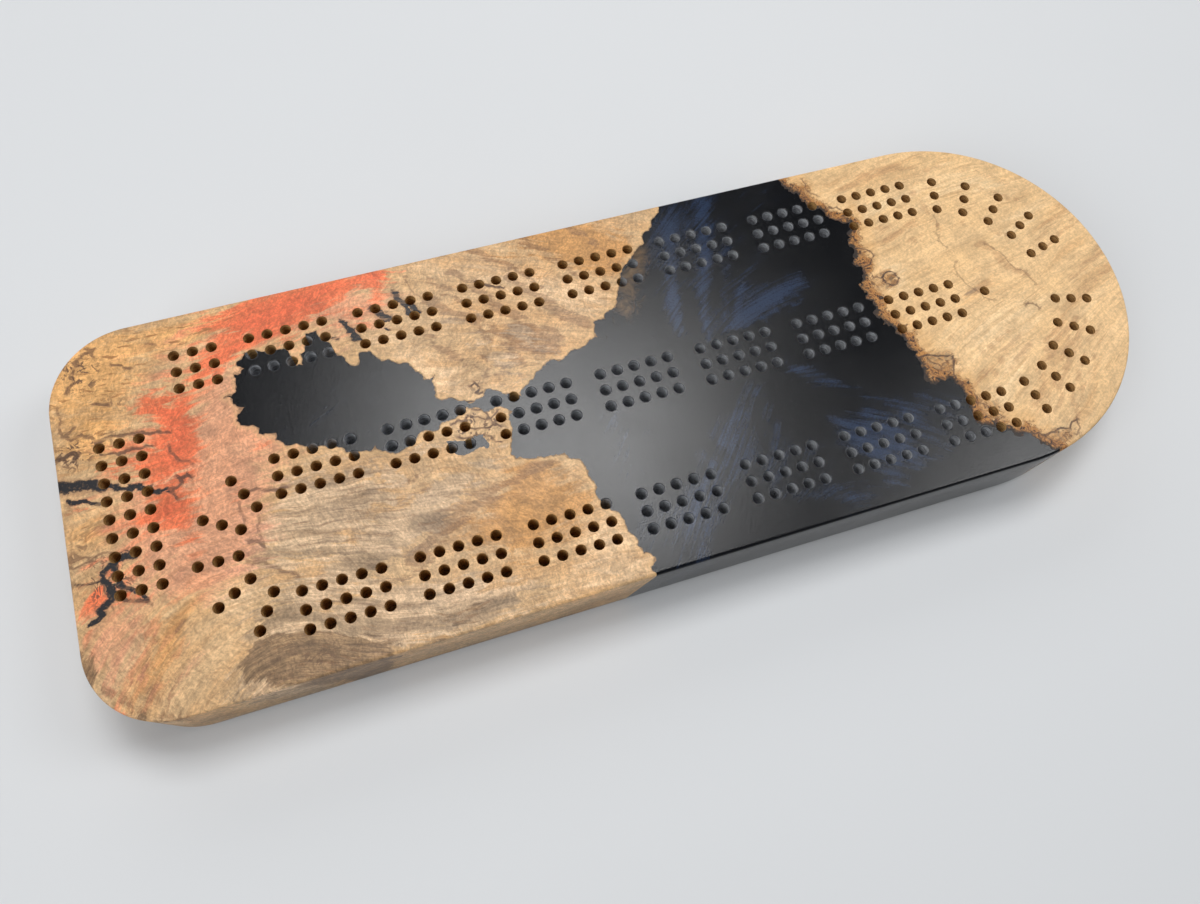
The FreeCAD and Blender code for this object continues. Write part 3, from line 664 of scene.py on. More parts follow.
RIGHT_STREAKS = (
    (0.5, 1.2, 0.8, ((108, 43), (110.6, 33), (112, 24), (110, 17))),
    (0.6, 1.4, 0.9, ((122, 17), (126, 12.4), (128, 6), (133, 1.4), (135, -4))),
    (0.5, 1.8, 1.2, ((107, 3), (113, 1), (119, 3))),
    (0.5, 1.2, 0.8, ((88, 29), (98, 27), (106, 24.6))),
    (0.45, 1.0, 0.8, ((86, 47), (98, 49.6), (112, 49))),
    (0.7, 1.0, 1.4, ((112, -44), (121, -33.4), (129, -24), (138, -14.4))),
    (0.65, 0.9, 1.2, ((118, -46), (127, -35), (136, -26), (144, -18))),
    (0.6, 0.8, 1.0, ((124, -48.6), (132, -39), (141, -30.4))),
    (0.55, 0.8, 1.2, ((104, -33), (113, -27), (122, -21))),
    (0.7, 1.2, 2.2, ((142, 12.6), (150, 17), (158, 21.6))),
    (0.7, 1.2, 2.0, ((146, -3.6), (153, -0.4), (161, 3.6))),
    (0.5, 2.0, 1.2, ((97, -30), (108, -22), (120, -18.4))),
    (0.5, 1.0, 1.2, ((122, 47), (134, 42.6), (142, 36))),
    (0.8, 0.4, 0.7, ((109, -44), (118, -33.6), (127, -22.8), (134, -15.4))),
    (0.8, 0.4, 0.8, ((114.6, -46), (124, -34.4), (133, -25), (141, -16.4))),
    (0.8, 0.4, 0.7, ((121, -48), (129.6, -37.4), (138.6, -28.4), (147, -21.6))),
    (0.75, 0.4, 0.6, ((102, -30.6), (112, -22.6), (122, -16.4))),
    (0.7, 0.4, 0.6, ((99, -24), (109, -18.4), (118, -14.8))),
    (0.75, 0.4, 0.8, ((144, 9), (152, 13.4), (160, 17))),
    (0.75, 0.4, 0.8, ((148, -9), (155, -5.8), (161, -3.4))),
    (0.7, 0.4, 0.7, ((87, 26.4), (97, 24.6), (107, 20.8))),
    (0.7, 0.4, 0.7, ((90, 30.6), (101, 29.4), (109, 26.8))),
    (0.7, 0.4, 0.6, ((86, 49.8), (97, 51.6), (110, 50.6), (120, 46.8))),
    (0.7, 0.4, 0.6, ((128, 39), (136, 33.6), (143, 27.6))),
    (0.65, 0.4, 0.6, ((118, 26), (126, 22.4), (133, 16.8))),
)
# Drawn out pearl in the resin, told in the same way.
RESIN_STROKES = (
    (0.95, 1.6, 3.0, ((17, 12), (17.4, 18), (19.4, 26), (22, 36), (26, 50))),
    (0.9, 1.0, 2.8, ((24.6, 8), (25.6, 15), (28.6, 24), (33, 34), (37, 46), (40, 57))),
    (0.5, 0.8, 2.0, ((31, 9), (33, 17), (37.6, 28), (41, 38))),
    (1.1, 1.2, 2.6, ((34, 9.4), (39, 11), (46, 14.6), (54, 17.8), (60, 19.4))),
    (0.7, 0.7, 1.4, ((43, 9), (50, 12), (58, 15.4), (67, 18.4))),
    (0.5, 0.7, 1.2, ((44, 7.4), (52, 9.6), (58, 13))),
    (0.55, 0.8, 2.2, ((36, 12), (38, 18), (42, 24), (50, 31))),
    (0.8, 1.4, 2.2, ((46, -9), (51, -12), (57, -16))),
    (0.45, 1.0, 1.4, ((48, -2), (45, -6), (47, -9))),
    (0.5, 0.8, 2.0, ((57, -16), (64, -23), (72, -28))),
    (0.85, 3.0, 5.0, ((51, -26.6), (56, -32), (60, -40), (63, -48))),
    (0.75, 2.6, 4.4, ((62, -29), (66, -35), (70, -45))),
    (0.65, 2.0, 4.0, ((73, -26.6), (75, -34), (80, -45))),
    (0.55, 4.0, 7.0, ((31, -13), (21, -27), (8, -42), (-4, -56))),
    (0.5, 2.4, 4.4, ((34, -15), (33, -30), (28, -42))),
    (0.45, 3.6, 5.0, ((-14, -9), (-10, -24), (-13, -46))),
    (0.5, 2.6, 4.0, ((28, -45), (40, -49), (52, -54))),
    (0.4, 5.0, 6.0, ((14, 34), (22, 44), (30, 55))),
    (0.3, 4.0, 5.0, ((-100, 10), (-84, 18), (-70, 24))),
)
# Patches of stain: x, y, half length, half width, degrees, strength.
LEFT_PATCHES = {
    "blaze": (
        (-104, 49.5, 16, 7, 0, 1.1), (-112, 41, 9, 4.5, 20, 0.7), (-88, 52.5, 15, 5, 0, 0.95),
        (-67, 51, 3.6, 8, -20, 0.7), (-73, 55, 12, 3, 0, 0.8), (-120, 37, 7, 6, 30, 0.62),
        (-131, 27, 6, 9, 12, 1.0), (-138, 31, 4, 4, 0, 0.6), (-133, 12, 8, 9, -10, 1.0),
        (-135, -2, 6, 6, 0, 0.85), (-131, -12, 4, 6, 0, 0.5), (-109, 10, 4, 3.5, 0, 0.55),
        (-118, -1, 3.5, 3.5, 0, 0.5), (-96, 42, 8, 3.5, -20, 0.6), (-82, 44, 8, 4, -30, 0.42),
        (-76, 40, 5, 5, 0, 0.35), (-155.6, -50.4, 9, 1.5, -48, 0.5), (-155, 5, 9, 3, 0, 0.28),
        (-128, 20, 5, 14, 0, 0.45), (-161, -31, 3, 6, 0, 0.32), (-152, -15, 9, 8, 0, 0.5),
        (-147, -23, 5, 2, -20, 0.6), (-157, -21, 5, 5, 0, 0.75), (-145, 14, 9, 5, 0, 0.5),
        (-141, -3, 9, 4, 0, 0.55), (-147, 20, 8, 2, 0, 0.3),
    ),
    "veil": (
        (-118, 8, 13, 22, 0, 0.9), (-122, -12, 10, 9, 0, 0.7), (-145, -44, 22, 12, 50, 0.26),
        (-131, -20, 14, 8, 0, 0.5), (-76, 46, 12, 8, -20, 0.6), (-112, 28, 7, 10, 0, 0.6),
        (-140, -3, 9, 9, 0, 0.5), (-155, -34, 9, 10, 0, 0.5), (-104, 10, 8, 4, -20, 0.5),
        (-98, 30, 20, 4, 10, 0.3), (-150, -4, 16, 34, 0, 0.34), (-98, 46, 34, 11, 0, 0.6),
        (-132, 10, 11, 28, 0, 0.55),
    ),
    "ash": (
        (-98, -14, 20, 11, 15, 1.15), (-74, -22, 26, 4.5, 22, 0.75), (-88, -30, 22, 4, 14, 0.5),
        (-72, -48, 22, 7, -8, 1.2), (-48, 32, 10, 3.5, -48, 0.45), (-36, 15, 9, 4, -50, 0.6),
        (-104, -46, 18, 7, -25, 0.8), (-92, -38, 12, 4, -20, 0.4), (-58, -15, 12, 5, 15, 0.35),
        (-116, -50, 10, 8, 0, 0.9), (-110, -57, 16, 4, 0, 0.8), (-30, 24, 16, 3, -45, 0.5),
        (-64, -3.4, 9, 2.6, 0, 0.3),
    ),
    "amber": (
        (-42, -27, 13, 9, 60, 1.3), (-30, -32, 8, 8, 0, 0.7), (-58, -29, 12, 8, 0, 0.6),
        (-6, 50, 17, 8, -25, 1.3), (4, 42, 7, 8, -40, 0.5), (-28, 50, 20, 4, -38, 0.35),
        (-30, 23, 17, 4, -42, 0.85), (-46, 45, 20, 5, -35, 0.3), (-50, -47, 12, 6, 0, 0.25),
        (-146, -40, 20, 6, 58, 0.7), (-139, -36, 14, 2.4, 58, 0.45), (-127, -26, 18, 4, 12, 0.3),
        (-116, -46, 6, 5, 0, 0.5), (-150, 27, 16, 7, -12, 0.35), (-154, 2, 10, 5, 0, 0.5),
        (-90, -2, 12, 4, 8, 0.5),
    ),
    "brown": (
        (-108, -51, 17, 7, -14, 1.25), (-117, -47, 7, 5, 0, 0.5), (-96, -56, 12, 5, -20, 0.9),
        (-152, -17, 7, 7, 0, 0.35), (-161, -38, 2.5, 9, 10, 0.7), (-148, -55, 9, 2, -35, 0.6),
        (-70, -51, 13, 3.4, -8, 0.62),
    ),
    "straw": (
        (-150, 44, 18, 14, 20, 0.9), (-116, 51, 10, 4, 10, 0.7), (-152, 22, 12, 9, 0, 0.6),
        (-155, -2, 9, 7, 0, 0.6), (-122, 11, 5, 2, 0, 0.5), (-127, 50, 10, 5, 0, 0.6),
        (-106, 44, 6, 4, 0, 0.2),
    ),
    "pale": (
        (-32, -53, 18, 5, 0, 0.45), (-57, 17, 16, 8, -30, 0.6), (-15, 35, 22, 6, -35, 0.7),
        (-66, -12, 20, 5, 14, 0.4), (-70, 33, 12, 8, 0, 0.4), (-45, 50, 20, 6, -35, 0.4),
        (-122, -30, 10, 7, 0, 0.6), (-78, -53, 20, 4, 0, 0.4), (-30, 8, 14, 3, 20, 0.4),
        (-24, -42, 10, 8, 0, 0.6), (-114, 34, 6, 6, 0, 0.6),
    ),
    "curl": (
        (-50, 0, 10, 8, 0, 1.0), (-153, 45, 8, 9, 0, 0.9), (-158, 20, 7, 5, 0, 0.9),
        (-153, -17, 9, 10, 0, 0.9), (-145, 33, 7, 4, 0, 0.6), (-148, 24, 10, 4, 0, 0.6),
        (-99, -15, 16, 9, 0, 0.35), (-107, -51, 20, 7, 0, 0.6), (-46, 12, 6, 3, 0, 0.5),
        (-159, -4, 5, 5, 0, 0.5), (-95, 38, 10, 3, 0, 0.3), (-70, 41, 8, 5, 0, 0.35),
    ),
}
RIGHT_PATCHES = {
    "blaze": (),
    "veil": ((90, -40, 6, 8, 0, 0.3),),
    "ash": ((112, 1, 6, 2, 0, 0.3), (122, -22, 8, 3, 35, 0.2), (98, 20, 8, 2, 0, 0.2)),
    "amber": (
        (96, 50, 22, 5, 4, 0.6), (92, 24, 9, 3, 0, 0.7), (152, 20, 12, 3, 24, 0.7),
        (150, 6, 11, 3, 28, 0.8), (156, -5, 8, 3.5, 25, 0.8), (132, -24, 22, 3.5, 42, 0.6),
        (140, -12, 16, 3, 32, 0.5), (118, -38, 24, 3, 48, 0.6), (104, 30, 12, 4, 0, 0.4),
        (112, 45, 22, 3, -10, 0.4), (88.4, 12, 3, 3, 0, 1.0), (146, 30, 10, 2.4, 20, 0.5),
        (100, -26, 14, 3, 35, 0.3), (139, -34, 14, 2.5, 52, 0.6), (128, -47, 10, 3, 45, 0.5),
    ),
    "brown": (
        (88.6, 12, 2.2, 2.2, 0, 0.8), (79, 37, 4, 3.5, 0, 1.0), (91, -20, 5, 4.5, -20, 0.5),
        (116, -51.5, 8, 2, 0, 0.6), (84, 21, 2.5, 3, 0, 0.6),
    ),
    "straw": ((116, -2, 14, 12, 0, 0.3),),
    "pale": (
        (88, 12, 6, 7, 0, 0.7), (100, 38, 20, 6, 0, 0.5), (114, -10, 20, 8, 20, 0.6),
        (140, 20, 14, 5, 20, 0.4), (110, -30, 20, 4, 45, 0.5), (130, 40, 18, 6, -25, 0.5),
        (80, 44, 4, 4, 0, 0.8), (148, -14, 12, 4, 35, 0.4),
    ),
    "curl": (
        (92, -20, 7, 6, 0, 1.0), (99, -37, 6, 8, 30, 0.9), (116, -52, 9, 4, 0, 1.0),
        (88, 12, 4, 4, 0, 0.9), (83, 22, 5, 5, 0, 0.8), (80, 8, 4, 12, 0, 0.7), (75, 52, 6, 6, 0, 0.5),
        (79, 38, 6, 5, 0, 0.7), (128, -8, 3, 3, 0, 0.5), (84, -8, 4, 6, 0, 0.7),
    ),
}
RESIN_PATCHES = {
    "shimmer": (
        (17, 20, 3.4, 10, -12, 0.85), (29, 26, 5, 20, -16, 0.7), (38, 14, 10, 5, 30, 0.9),
        (50, 17, 14, 4, 22, 0.8), (50, -12, 8, 3, -28, 0.9), (60, -31, 8, 5, 0, 0.8),
        (66, -38, 13, 9, 0, 0.9), (76, -30, 7, 5, 0, 0.6), (12, -30, 22, 6, 50, 0.55),
        (-4, -41, 10, 8, 0, 0.6), (32, -33, 12, 8, 0, 0.45), (28, 48, 16, 7, 0, 0.6),
        (56, 50, 14, 6, 0, 0.35), (46, -48, 10, 4, -20, 0.5), (86, -36, 6, 7, 0, 0.6),
        (-8, -8, 6, 3, 0, 0.3), (40, 30, 8, 16, -28, 0.35), (56, 4, 10, 3, 14, 0.3),
        (-80, 14, 14, 6, 0, 0.12),
    ),
    "smoke": (
        (8, 33, 6, 10, -28, 0.9), (3, 23, 5, 4, 0, 0.7), (14, 42, 4, 6, -30, 0.6),
        (-6, 17, 6, 3, 20, 0.5), (-22, -18, 2, 4, 0, 0.35), (80, 36, 3, 6, 0, 0.4),
        (82, -20, 3, 8, 0, 0.3),
    ),
    "deep": ((71, 12, 12, 24, 0, 1.0), (68, 36, 14, 14, 0, 0.8), (86, -16, 6, 10, 0, 0.6)),
}
# Which way the grain runs: x, y, degrees, reach of the say that this has.
LEFT_GRAIN = (
    (-150, 45, -22, 16), (-152, 5, -4, 16), (-145, -38, 58, 17), (-122, 48, -12, 14), (-95, 50, -8, 16),
    (-120, 10, 12, 12), (-125, -25, 20, 12), (-95, -12, 12, 14), (-75, -22, 24, 16),
    (-95, -50, -22, 13), (-55, -25, 30, 14), (-35, -28, 62, 9), (-40, -50, 4, 14), (-55, 20, -40, 16),
    (-30, 30, -46, 16), (-5, 45, -36, 16), (-60, 48, -30, 14), (15, 52, -28, 14), (-50, 0, 5, 10),
    (-155, -18, 20, 10),
)
RIGHT_GRAIN = (
    (95, 50, 2, 18), (120, 45, -14, 16), (90, 30, -4, 14), (112, 15, 2, 16), (95, -5, 18, 14),
    (118, -12, 24, 14), (108, -35, 46, 15), (130, -30, 46, 15), (150, 0, 28, 15), (150, 22, 22, 12),
    (128, 28, -12, 14), (140, -42, 52, 14),
)
RESIN_GRAIN = (
    (17.5, 18, 84, 8), (22, 34, 72, 9), (27, 20, 74, 7), (34, 38, 68, 10), (46, 14.5, 23, 8),
    (58, 18, 14, 9), (52, 12, 20, 6), (42, 26, 50, 8), (50, -12, -36, 8), (66, -24, -40, 9),
    (57, -36, -66, 9), (68, -38, -64, 9), (78, -38, -60, 9), (20, -28, 52, 12), (4, -46, 50, 12),
    (31, -30, 78, 8), (-12, -30, 82, 10), (40, -50, -16, 9), (-88, 18, 24, 14),
)
SHORE_REACH = 14.0  # millimetres from the joint over which a burl's shore is told
RIM_REACH = 0.3  # width of the pale ring round each hole in the resin: a worn edge and a painted highlight
# What each burl's wood is dressed with.
BURLS = {
    "burl_left": (LEFT_GRAIN, LEFT_PATCHES, LEFT_STREAKS),
    "burl_right": (RIGHT_GRAIN, RIGHT_PATCHES, RIGHT_STREAKS),
}


def dark_lines():
    """The dark lines of the burl, each broken up a little: strength, half widths at its ends, its
    segments."""
    made = []
    for number, (strength, start, end, points) in enumerate(LEFT_LINES + RIGHT_LINES):
        made.append((strength, start, end, jagged(chain(points), 0.9, 0.11, 20 + number)))
    return made


def patches(xy, blobs):
    """Sum of oval bells: strength times exp(-(u / length)^2 - (v / width)^2), with u and v turned."""
    total = np.zeros(len(xy))
    for x, y, length, width, degrees, strength in blobs:
        turn = math.radians(degrees)
        dx, dy = xy[:, 0] - x, xy[:, 1] - y
        u = (dx * math.cos(turn) + dy * math.sin(turn)) / length
        v = (dy * math.cos(turn) - dx * math.sin(turn)) / width
        total += strength * np.exp(-u ** 2 - v ** 2)
    return total


def beside(xy, strokes):
    """For each stroke: which points are near it, how far off they are in half widths, and its strength."""
    for strength, start, end, segments in strokes:
        ends = segments.reshape(-1, 2)
        low, high = ends.min(0) - 8 - 2 * max(start, end), ends.max(0) + 8 + 2 * max(start, end)
        near = np.flatnonzero(((xy > low) & (xy < high)).all(1))
        if not len(near):
            continue
        a, along = segments[:, 0], segments[:, 1] - segments[:, 0]
        lengths = np.hypot(*along.T)
        offset = xy[near, None] - a[None]
        t = np.clip((offset * along).sum(-1) / lengths ** 2, 0, 1)
        apart = np.hypot(*np.moveaxis(offset - t[..., None] * along, -1, 0))
        closest = apart.argmin(1)
        row = np.arange(len(near))
        travelled = (np.cumsum(lengths) - lengths)[closest] + t[row, closest] * lengths[closest]
        width = start + (end - start) * travelled / lengths.sum()
        yield near, apart[row, closest] / width, strength


def ink(xy):
    """Two numbers: 1 along a dark line, 0.5 at its half width and 0 at twice that; and how dark that
    line is."""
    profile, dye = np.zeros(len(xy)), np.zeros(len(xy))
    for near, apart, strength in beside(xy, dark_lines()):
        value = np.clip(1 - apart / 2, 0, 1)
        stronger = value > profile[near]
        profile[near[stronger]] = value[stronger]
        dye[near[stronger]] = strength
    return profile, dye


def strokes(xy, table):
    """Soft strokes laid over each other: strength times exp(-(distance / width)^2), the largest of all."""
    result = np.zeros(len(xy))
    lines = [(strength, start, end, chain(finer(points, 3.0))) for strength, start, end, points in table]
    for near, apart, strength in beside(xy, lines):
        result[near] = np.maximum(result[near], strength * np.exp(-apart ** 2))
    return result


class GrainSheets:
    """Two sheets over the board whose slopes follow the grain: one rises along it and one across it.

    The direction at each knot is the mean of the given ones, weighted by exp(-(distance / reach)^2), and the
    sheets are the least squares fit to those slopes. Between knots they are cubic B-splines."""

    KNOT = 5.0  # from knot to knot
    MARGIN = 10  # how far the knots go beyond the board

    def __init__(self, directions):
        self.x0, self.y0 = SQUARE_END - self.MARGIN, -HALF_WIDTH - self.MARGIN
        nx, ny = (int(2 * (half + self.MARGIN) / self.KNOT) + 2 for half in (-SQUARE_END, HALF_WIDTH))
        gx, gy = np.meshgrid(np.arange(nx), np.arange(ny), indexing="ij")
        x, y = self.x0 + gx * self.KNOT, self.y0 + gy * self.KNOT
        weight, turn = np.full(x.shape, 1e-9), np.zeros(x.shape)
        for cx, cy, degrees, reach in directions:
            w = np.exp(-((x - cx) ** 2 + (y - cy) ** 2) / reach ** 2) + 1e-7
            weight += w
            turn += w * math.radians(degrees)
        turn /= weight
        ids = gx * ny + gy
        rise = np.zeros((nx * ny, 2))
        matrix = np.eye(nx * ny) * 1e-6
        for low, high, quarter in (
            (ids[:-1].ravel(), ids[1:].ravel(), 0), (ids[:, :-1].ravel(), ids[:, 1:].ravel(), 1)
        ):
            mean = (turn.ravel()[low] + turn.ravel()[high]) / 2
            slope = np.stack([np.sin(mean), np.cos(mean)] if quarter else [np.cos(mean), -np.sin(mean)], -1)
            np.add.at(matrix, (low, low), 1)
            np.add.at(matrix, (high, high), 1)
            np.add.at(matrix, (low, high), -1)
            np.add.at(matrix, (high, low), -1)
            np.add.at(rise, high, slope * self.KNOT)
            np.add.at(rise, low, -slope * self.KNOT)
        self.knots = np.linalg.solve(matrix, rise).reshape(nx, ny, 2)

    def at(self, xy):
        """Along and across, (n, 2): sum over 4 x 4 knots of the B-spline weights times the knots."""
        u = (xy[:, 0] - self.x0) / self.KNOT
        v = (xy[:, 1] - self.y0) / self.KNOT
        i, j = np.floor(u).astype(int), np.floor(v).astype(int)
        wu, wv = self.weights(u - i), self.weights(v - j)
        total = np.zeros((len(xy), 2))
        for a in range(4):
            for b in range(4):
                ia = np.clip(i + a - 1, 0, self.knots.shape[0] - 1)
                jb = np.clip(j + b - 1, 0, self.knots.shape[1] - 1)
                total += self.knots[ia, jb] * (wu[a] * wv[b])[:, None]
        return total

    @staticmethod
    def weights(t):
        """The cubic B-spline's weights of the four knots about a place that is t past the second."""
        return (
            (1 - t) ** 3 / 6,
            (3 * t ** 3 - 6 * t ** 2 + 4) / 6,
            (-3 * t ** 3 + 3 * t ** 2 + 3 * t + 1) / 6,
            t ** 3 / 6,
        )


def paint(mesh, name, values):
    """Stores one number per vertex for the materials to read."""
    layer = mesh.attributes.new(name, "FLOAT", "POINT")
    layer.data.foreach_set("value", np.asarray(values, np.float32))


def dress_flow(mesh, xy, directions, blobs):
    """Stores the sheets that follow some directions, and the sum of each kind of patch."""
    for name, values in zip(("along", "across"), GrainSheets(directions).at(xy).T):
        paint(mesh, name, values)
    for name, group in blobs.items():
        paint(mesh, name, patches(xy, group))


def dress_wood(mesh, xy, burl, shore):
    """Stores what a burl's material reads of how it grew: grain, patches, streaks, dark lines, and how
    far off its shore is, where it meets the resin."""
    directions, blobs, streaks = BURLS[burl]
    dress_flow(mesh, xy, directions, blobs)
    paint(mesh, "streak", strokes(xy, streaks))
    for name, values in zip(("ink", "dye"), ink(xy)):
        paint(mesh, name, values)
    paint(mesh, "shore", np.minimum(shore, SHORE_REACH))


def dress_resin(mesh, xy, plan):
    """Stores what the resin's material reads: the pour's directions, its patches and strokes of pearl,
    and on the top 1 at a hole's rim falling to 0 beside it: a pale ring, worn edge and painted highlight."""
    dress_flow(mesh, xy, RESIN_GRAIN, RESIN_PATCHES)
    paint(mesh, "pearl", strokes(xy, RESIN_STROKES))
    places = np.empty(3 * len(mesh.vertices), np.float32)
    mesh.vertices.foreach_get("co", places)
    on_top = places[2::3] / MM > TOP - 1
    paint(mesh, "rim", on_top * (1 - smooth(nearest(xy, plan.holes) - plan.hole_radius, 0, RIM_REACH)))


# ---- materials -----------------------------------------------------------------------------------
SPECULAR = "Specular IOR Level"
STAIN_FADE = -0.028  # what a stain's amount loses per millimetre below the top
CURL_WIDTH = 0.05  # half width of a winding line, as a difference of noise
PLY = 0.42  # thickness of one ply of the drawer's bottom, in millimetres
LAMP_REACH = (450.0, 1300.0)  # millimetres from the board over which the lamps' light on the table ends


class Wiring:
    """Short calls that add a node to a tree and give back the socket that it puts out."""

    def __init__(self, tree):
        self.tree = tree

    def node(self, kind, inputs=(), **settings):
        """Adds a node, sets what else it needs, and feeds its inputs by number or name."""
        made = self.tree.nodes.new("ShaderNode" + kind)
        for name, value in settings.items():
            setattr(made, name, value)
        for socket, value in dict(inputs).items():
            self.feed(value, made.inputs[socket])
        return made

    def math(self, operation, *values, clamp=False):
        """A number worked out from one, two or three others."""
        return self.node("Math", enumerate(values), operation=operation, use_clamp=clamp).outputs[0]

    def plus(self, a, b):
        return self.math("ADD", a, b)

    def minus(self, a, b):
        return self.math("SUBTRACT", a, b)

    def times(self, a, b, clamp=False):
        return self.math("MULTIPLY", a, b, clamp=clamp)

    def times_plus(self, a, b, more):
        """a * b + more."""
        return self.math("MULTIPLY_ADD", a, b, more)

    def larger(self, a, b):
        return self.math("MAXIMUM", a, b)

    def mix(self, factor, a, b, blend="MIX"):
        """Colour a, or b where the factor is 1."""
        return self.node("Mix", {0: factor, 6: a, 7: b}, data_type="RGBA", blend_type=blend).outputs[2]

    def ramp(self, value, low, high, start=0.0, end=1.0):
        """A smooth step from start to end, as the value goes from low to high."""
        inputs = {0: value, 1: low, 2: high, 3: start, 4: end}
        return self.node("MapRange", inputs, interpolation_type="SMOOTHSTEP").outputs[0]

    def shades(self, value, *stops):
        """A colour that runs through stops of (place, colour)."""
        made = self.node("ValToRGB", {0: value})
        ramp = made.color_ramp
        while len(ramp.elements) < len(stops):
            ramp.elements.new(1.0)
        for element, (place, colour) in zip(ramp.elements, stops):
            element.position = place
            element.color = colour
        return made.outputs[0]

    def noise(self, place, scale=1.0, detail=2.0, roughness=0.5, distortion=0.0):
        """Cloudy noise about 0.5."""
        names = ("Vector", "Scale", "Detail", "Roughness", "Distortion")
        return self.node("TexNoise", zip(names, (place, scale, detail, roughness, distortion))).outputs[0]

    def stored(self, name):
        """A number that the mesh holds at each vertex."""
        return self.node("Attribute", attribute_name=name).outputs["Fac"]

    def stretched(self, x, y, z, sx, sy, sz):
        """A place whose three numbers are scaled each by its own factor."""
        parts = [self.times(value, factor) for value, factor in ((x, sx), (y, sy), (z, sz))]
        return self.node("CombineXYZ", enumerate(parts)).outputs[0]

    def millimetres(self):
        """Object coordinates in millimetres, and their three parts."""
        where = self.node("TexCoord").outputs["Object"]
        place = self.node("VectorMath", {0: where, "Scale": 1000.0}, operation="SCALE").outputs[0]
        parts = self.node("SeparateXYZ", {0: place})
        return place, parts.outputs[0], parts.outputs[1], parts.outputs[2]

    def feed(self, value, socket):
        """Links a socket to another one, or sets its number."""
        if isinstance(value, bpy.types.NodeSocket):
            self.tree.links.new(value, socket)
        else:
            socket.default_value = value

    def group(self, shared, **inputs):
        """Uses a shared group, and gives back what it puts out."""
        made = self.tree.nodes.new("ShaderNodeGroup")
        made.node_tree = shared()
        for name, value in inputs.items():
            self.feed(value, made.inputs[name.capitalize()])
        return made.outputs

    def bump(self, height, strength, distance):
        """The normal that a height gives, its distance in metres."""
        return self.node("Bump", {"Height": height, "Strength": strength, "Distance": distance}).outputs[0]


def shared_group(name, inputs, outputs):
    """Turns a function that wires a group, and gives back the sockets it puts out, into one that gives
    the group. The group is made at the first call. Its inputs are numbers, or a vector for Place."""
    def made_by(wire):
        def shared():
            if name in bpy.data.node_groups:
                return bpy.data.node_groups[name]
            tree = bpy.data.node_groups.new(name, "ShaderNodeTree")
            for label in inputs:
                kind = "NodeSocketVector" if label == "Place" else "NodeSocketFloat"
                tree.interface.new_socket(label, in_out="INPUT", socket_type=kind)
            for label in outputs:
                tree.interface.new_socket(label, in_out="OUTPUT", socket_type="NodeSocketFloat")
            given = tree.nodes.new("NodeGroupInput").outputs
            sink = tree.nodes.new("NodeGroupOutput").inputs
            for label, socket in zip(outputs, wire(Wiring(tree), given)):
                tree.links.new(socket, sink[label])
            return tree
        return shared
    return made_by


@shared_group("Swirl", ("Place", "Along", "Across"), ("Along", "Across"))
def swirl(w, given):
    """Bends the stored grain so that it swirls about eyes and knots, in slow waves with quicker ones on
    them."""
    for label, shift, slow, quick in (("Along", 0.0, 6.0, 0.8), ("Across", 57.0, 2.4, 0.28)):
        moved = w.node("VectorMath", {0: given["Place"], 1: (shift,) * 3}, operation="ADD").outputs[0]
        waves = w.times(w.minus(w.noise(moved, 0.045, 3, 0.55), 0.5), slow * 2)
        ripples = w.times(w.minus(w.noise(moved, 0.30, 3, 0.6), 0.5), quick * 2)
        yield w.plus(w.plus(waves, ripples), given[label])


@shared_group("Grain", ("Along", "Across", "Depth"), ("Fibre", "Bands", "Flecks", "Curl", "Relief"))
def grain(w, given):
    """Streaks that run along the grain: fine fibre, broad bands, short dashes, cross curl and their
    relief."""
    def streaks(sx, sy, sz, *character):
        drawn = w.stretched(given["Along"], given["Across"], given["Depth"], sx, sy, sz)
        return w.noise(drawn, 1, *character)

    fibre = w.times(streaks(0.065, 0.80, 0.5, 5, 0.7, 0.1), 0.65)
    mixed = w.times_plus(streaks(0.35, 3.0, 2.0, 3, 0.6), 0.35, fibre)
    dashes = w.ramp(streaks(0.20, 1.05, 0.9, 3, 0.55, 0.6), 0.57, 0.66)
    bands = streaks(0.020, 0.17, 0.12, 6, 0.62, 0.2)
    curl = streaks(0.60, 0.30, 0.3, 5, 0.65, 1.5)
    return mixed, bands, dashes, curl, w.times_plus(dashes, -0.5, mixed)


@shared_group("Stain", ("Amount", "Along", "Across", "Depth", "Ragged", "Low", "High"), ("Mask",))
def ragged_stain(w, given):
    """A stain's ragged edge: its stored amount, shifted by streaky noise and stepped between two levels."""
    drawn = w.stretched(given["Along"], given["Across"], given["Depth"], 0.11, 0.42, 0.3)
    shift = w.times(w.minus(w.noise(drawn, 1, 6, 0.66, 0.6), 0.5), given["Ragged"])
    shift = w.times(shift, w.ramp(given["Amount"], 0.02, 0.25))
    return [w.ramp(w.times_plus(shift, 2.0, given["Amount"]), given["Low"], given["High"])]


@shared_group("Curl Lines", ("Place", "Amount"), ("Mask",))
def curl_lines(w, given):
    """Thin winding lines where a noise passes through two of its levels, wanted where the amount is high."""
    winding = w.noise(given["Place"], 0.15, 3, 0.55, 1.4)
    thick = w.ramp(w.noise(given["Place"], 0.4, 2, 0.5), 0.38, 0.62)
    lines = []
    for level in (0.44, 0.57):
        apart = w.math("ABSOLUTE", w.minus(winding, level))
        lines.append(w.math("SUBTRACT", 1.0, w.math("DIVIDE", apart, CURL_WIDTH), clamp=True))
    sharp = w.ramp(w.times(w.larger(*lines), thick), 0.25, 0.55)
    return [w.times(sharp, w.ramp(given["Amount"], 0.3, 0.8))]


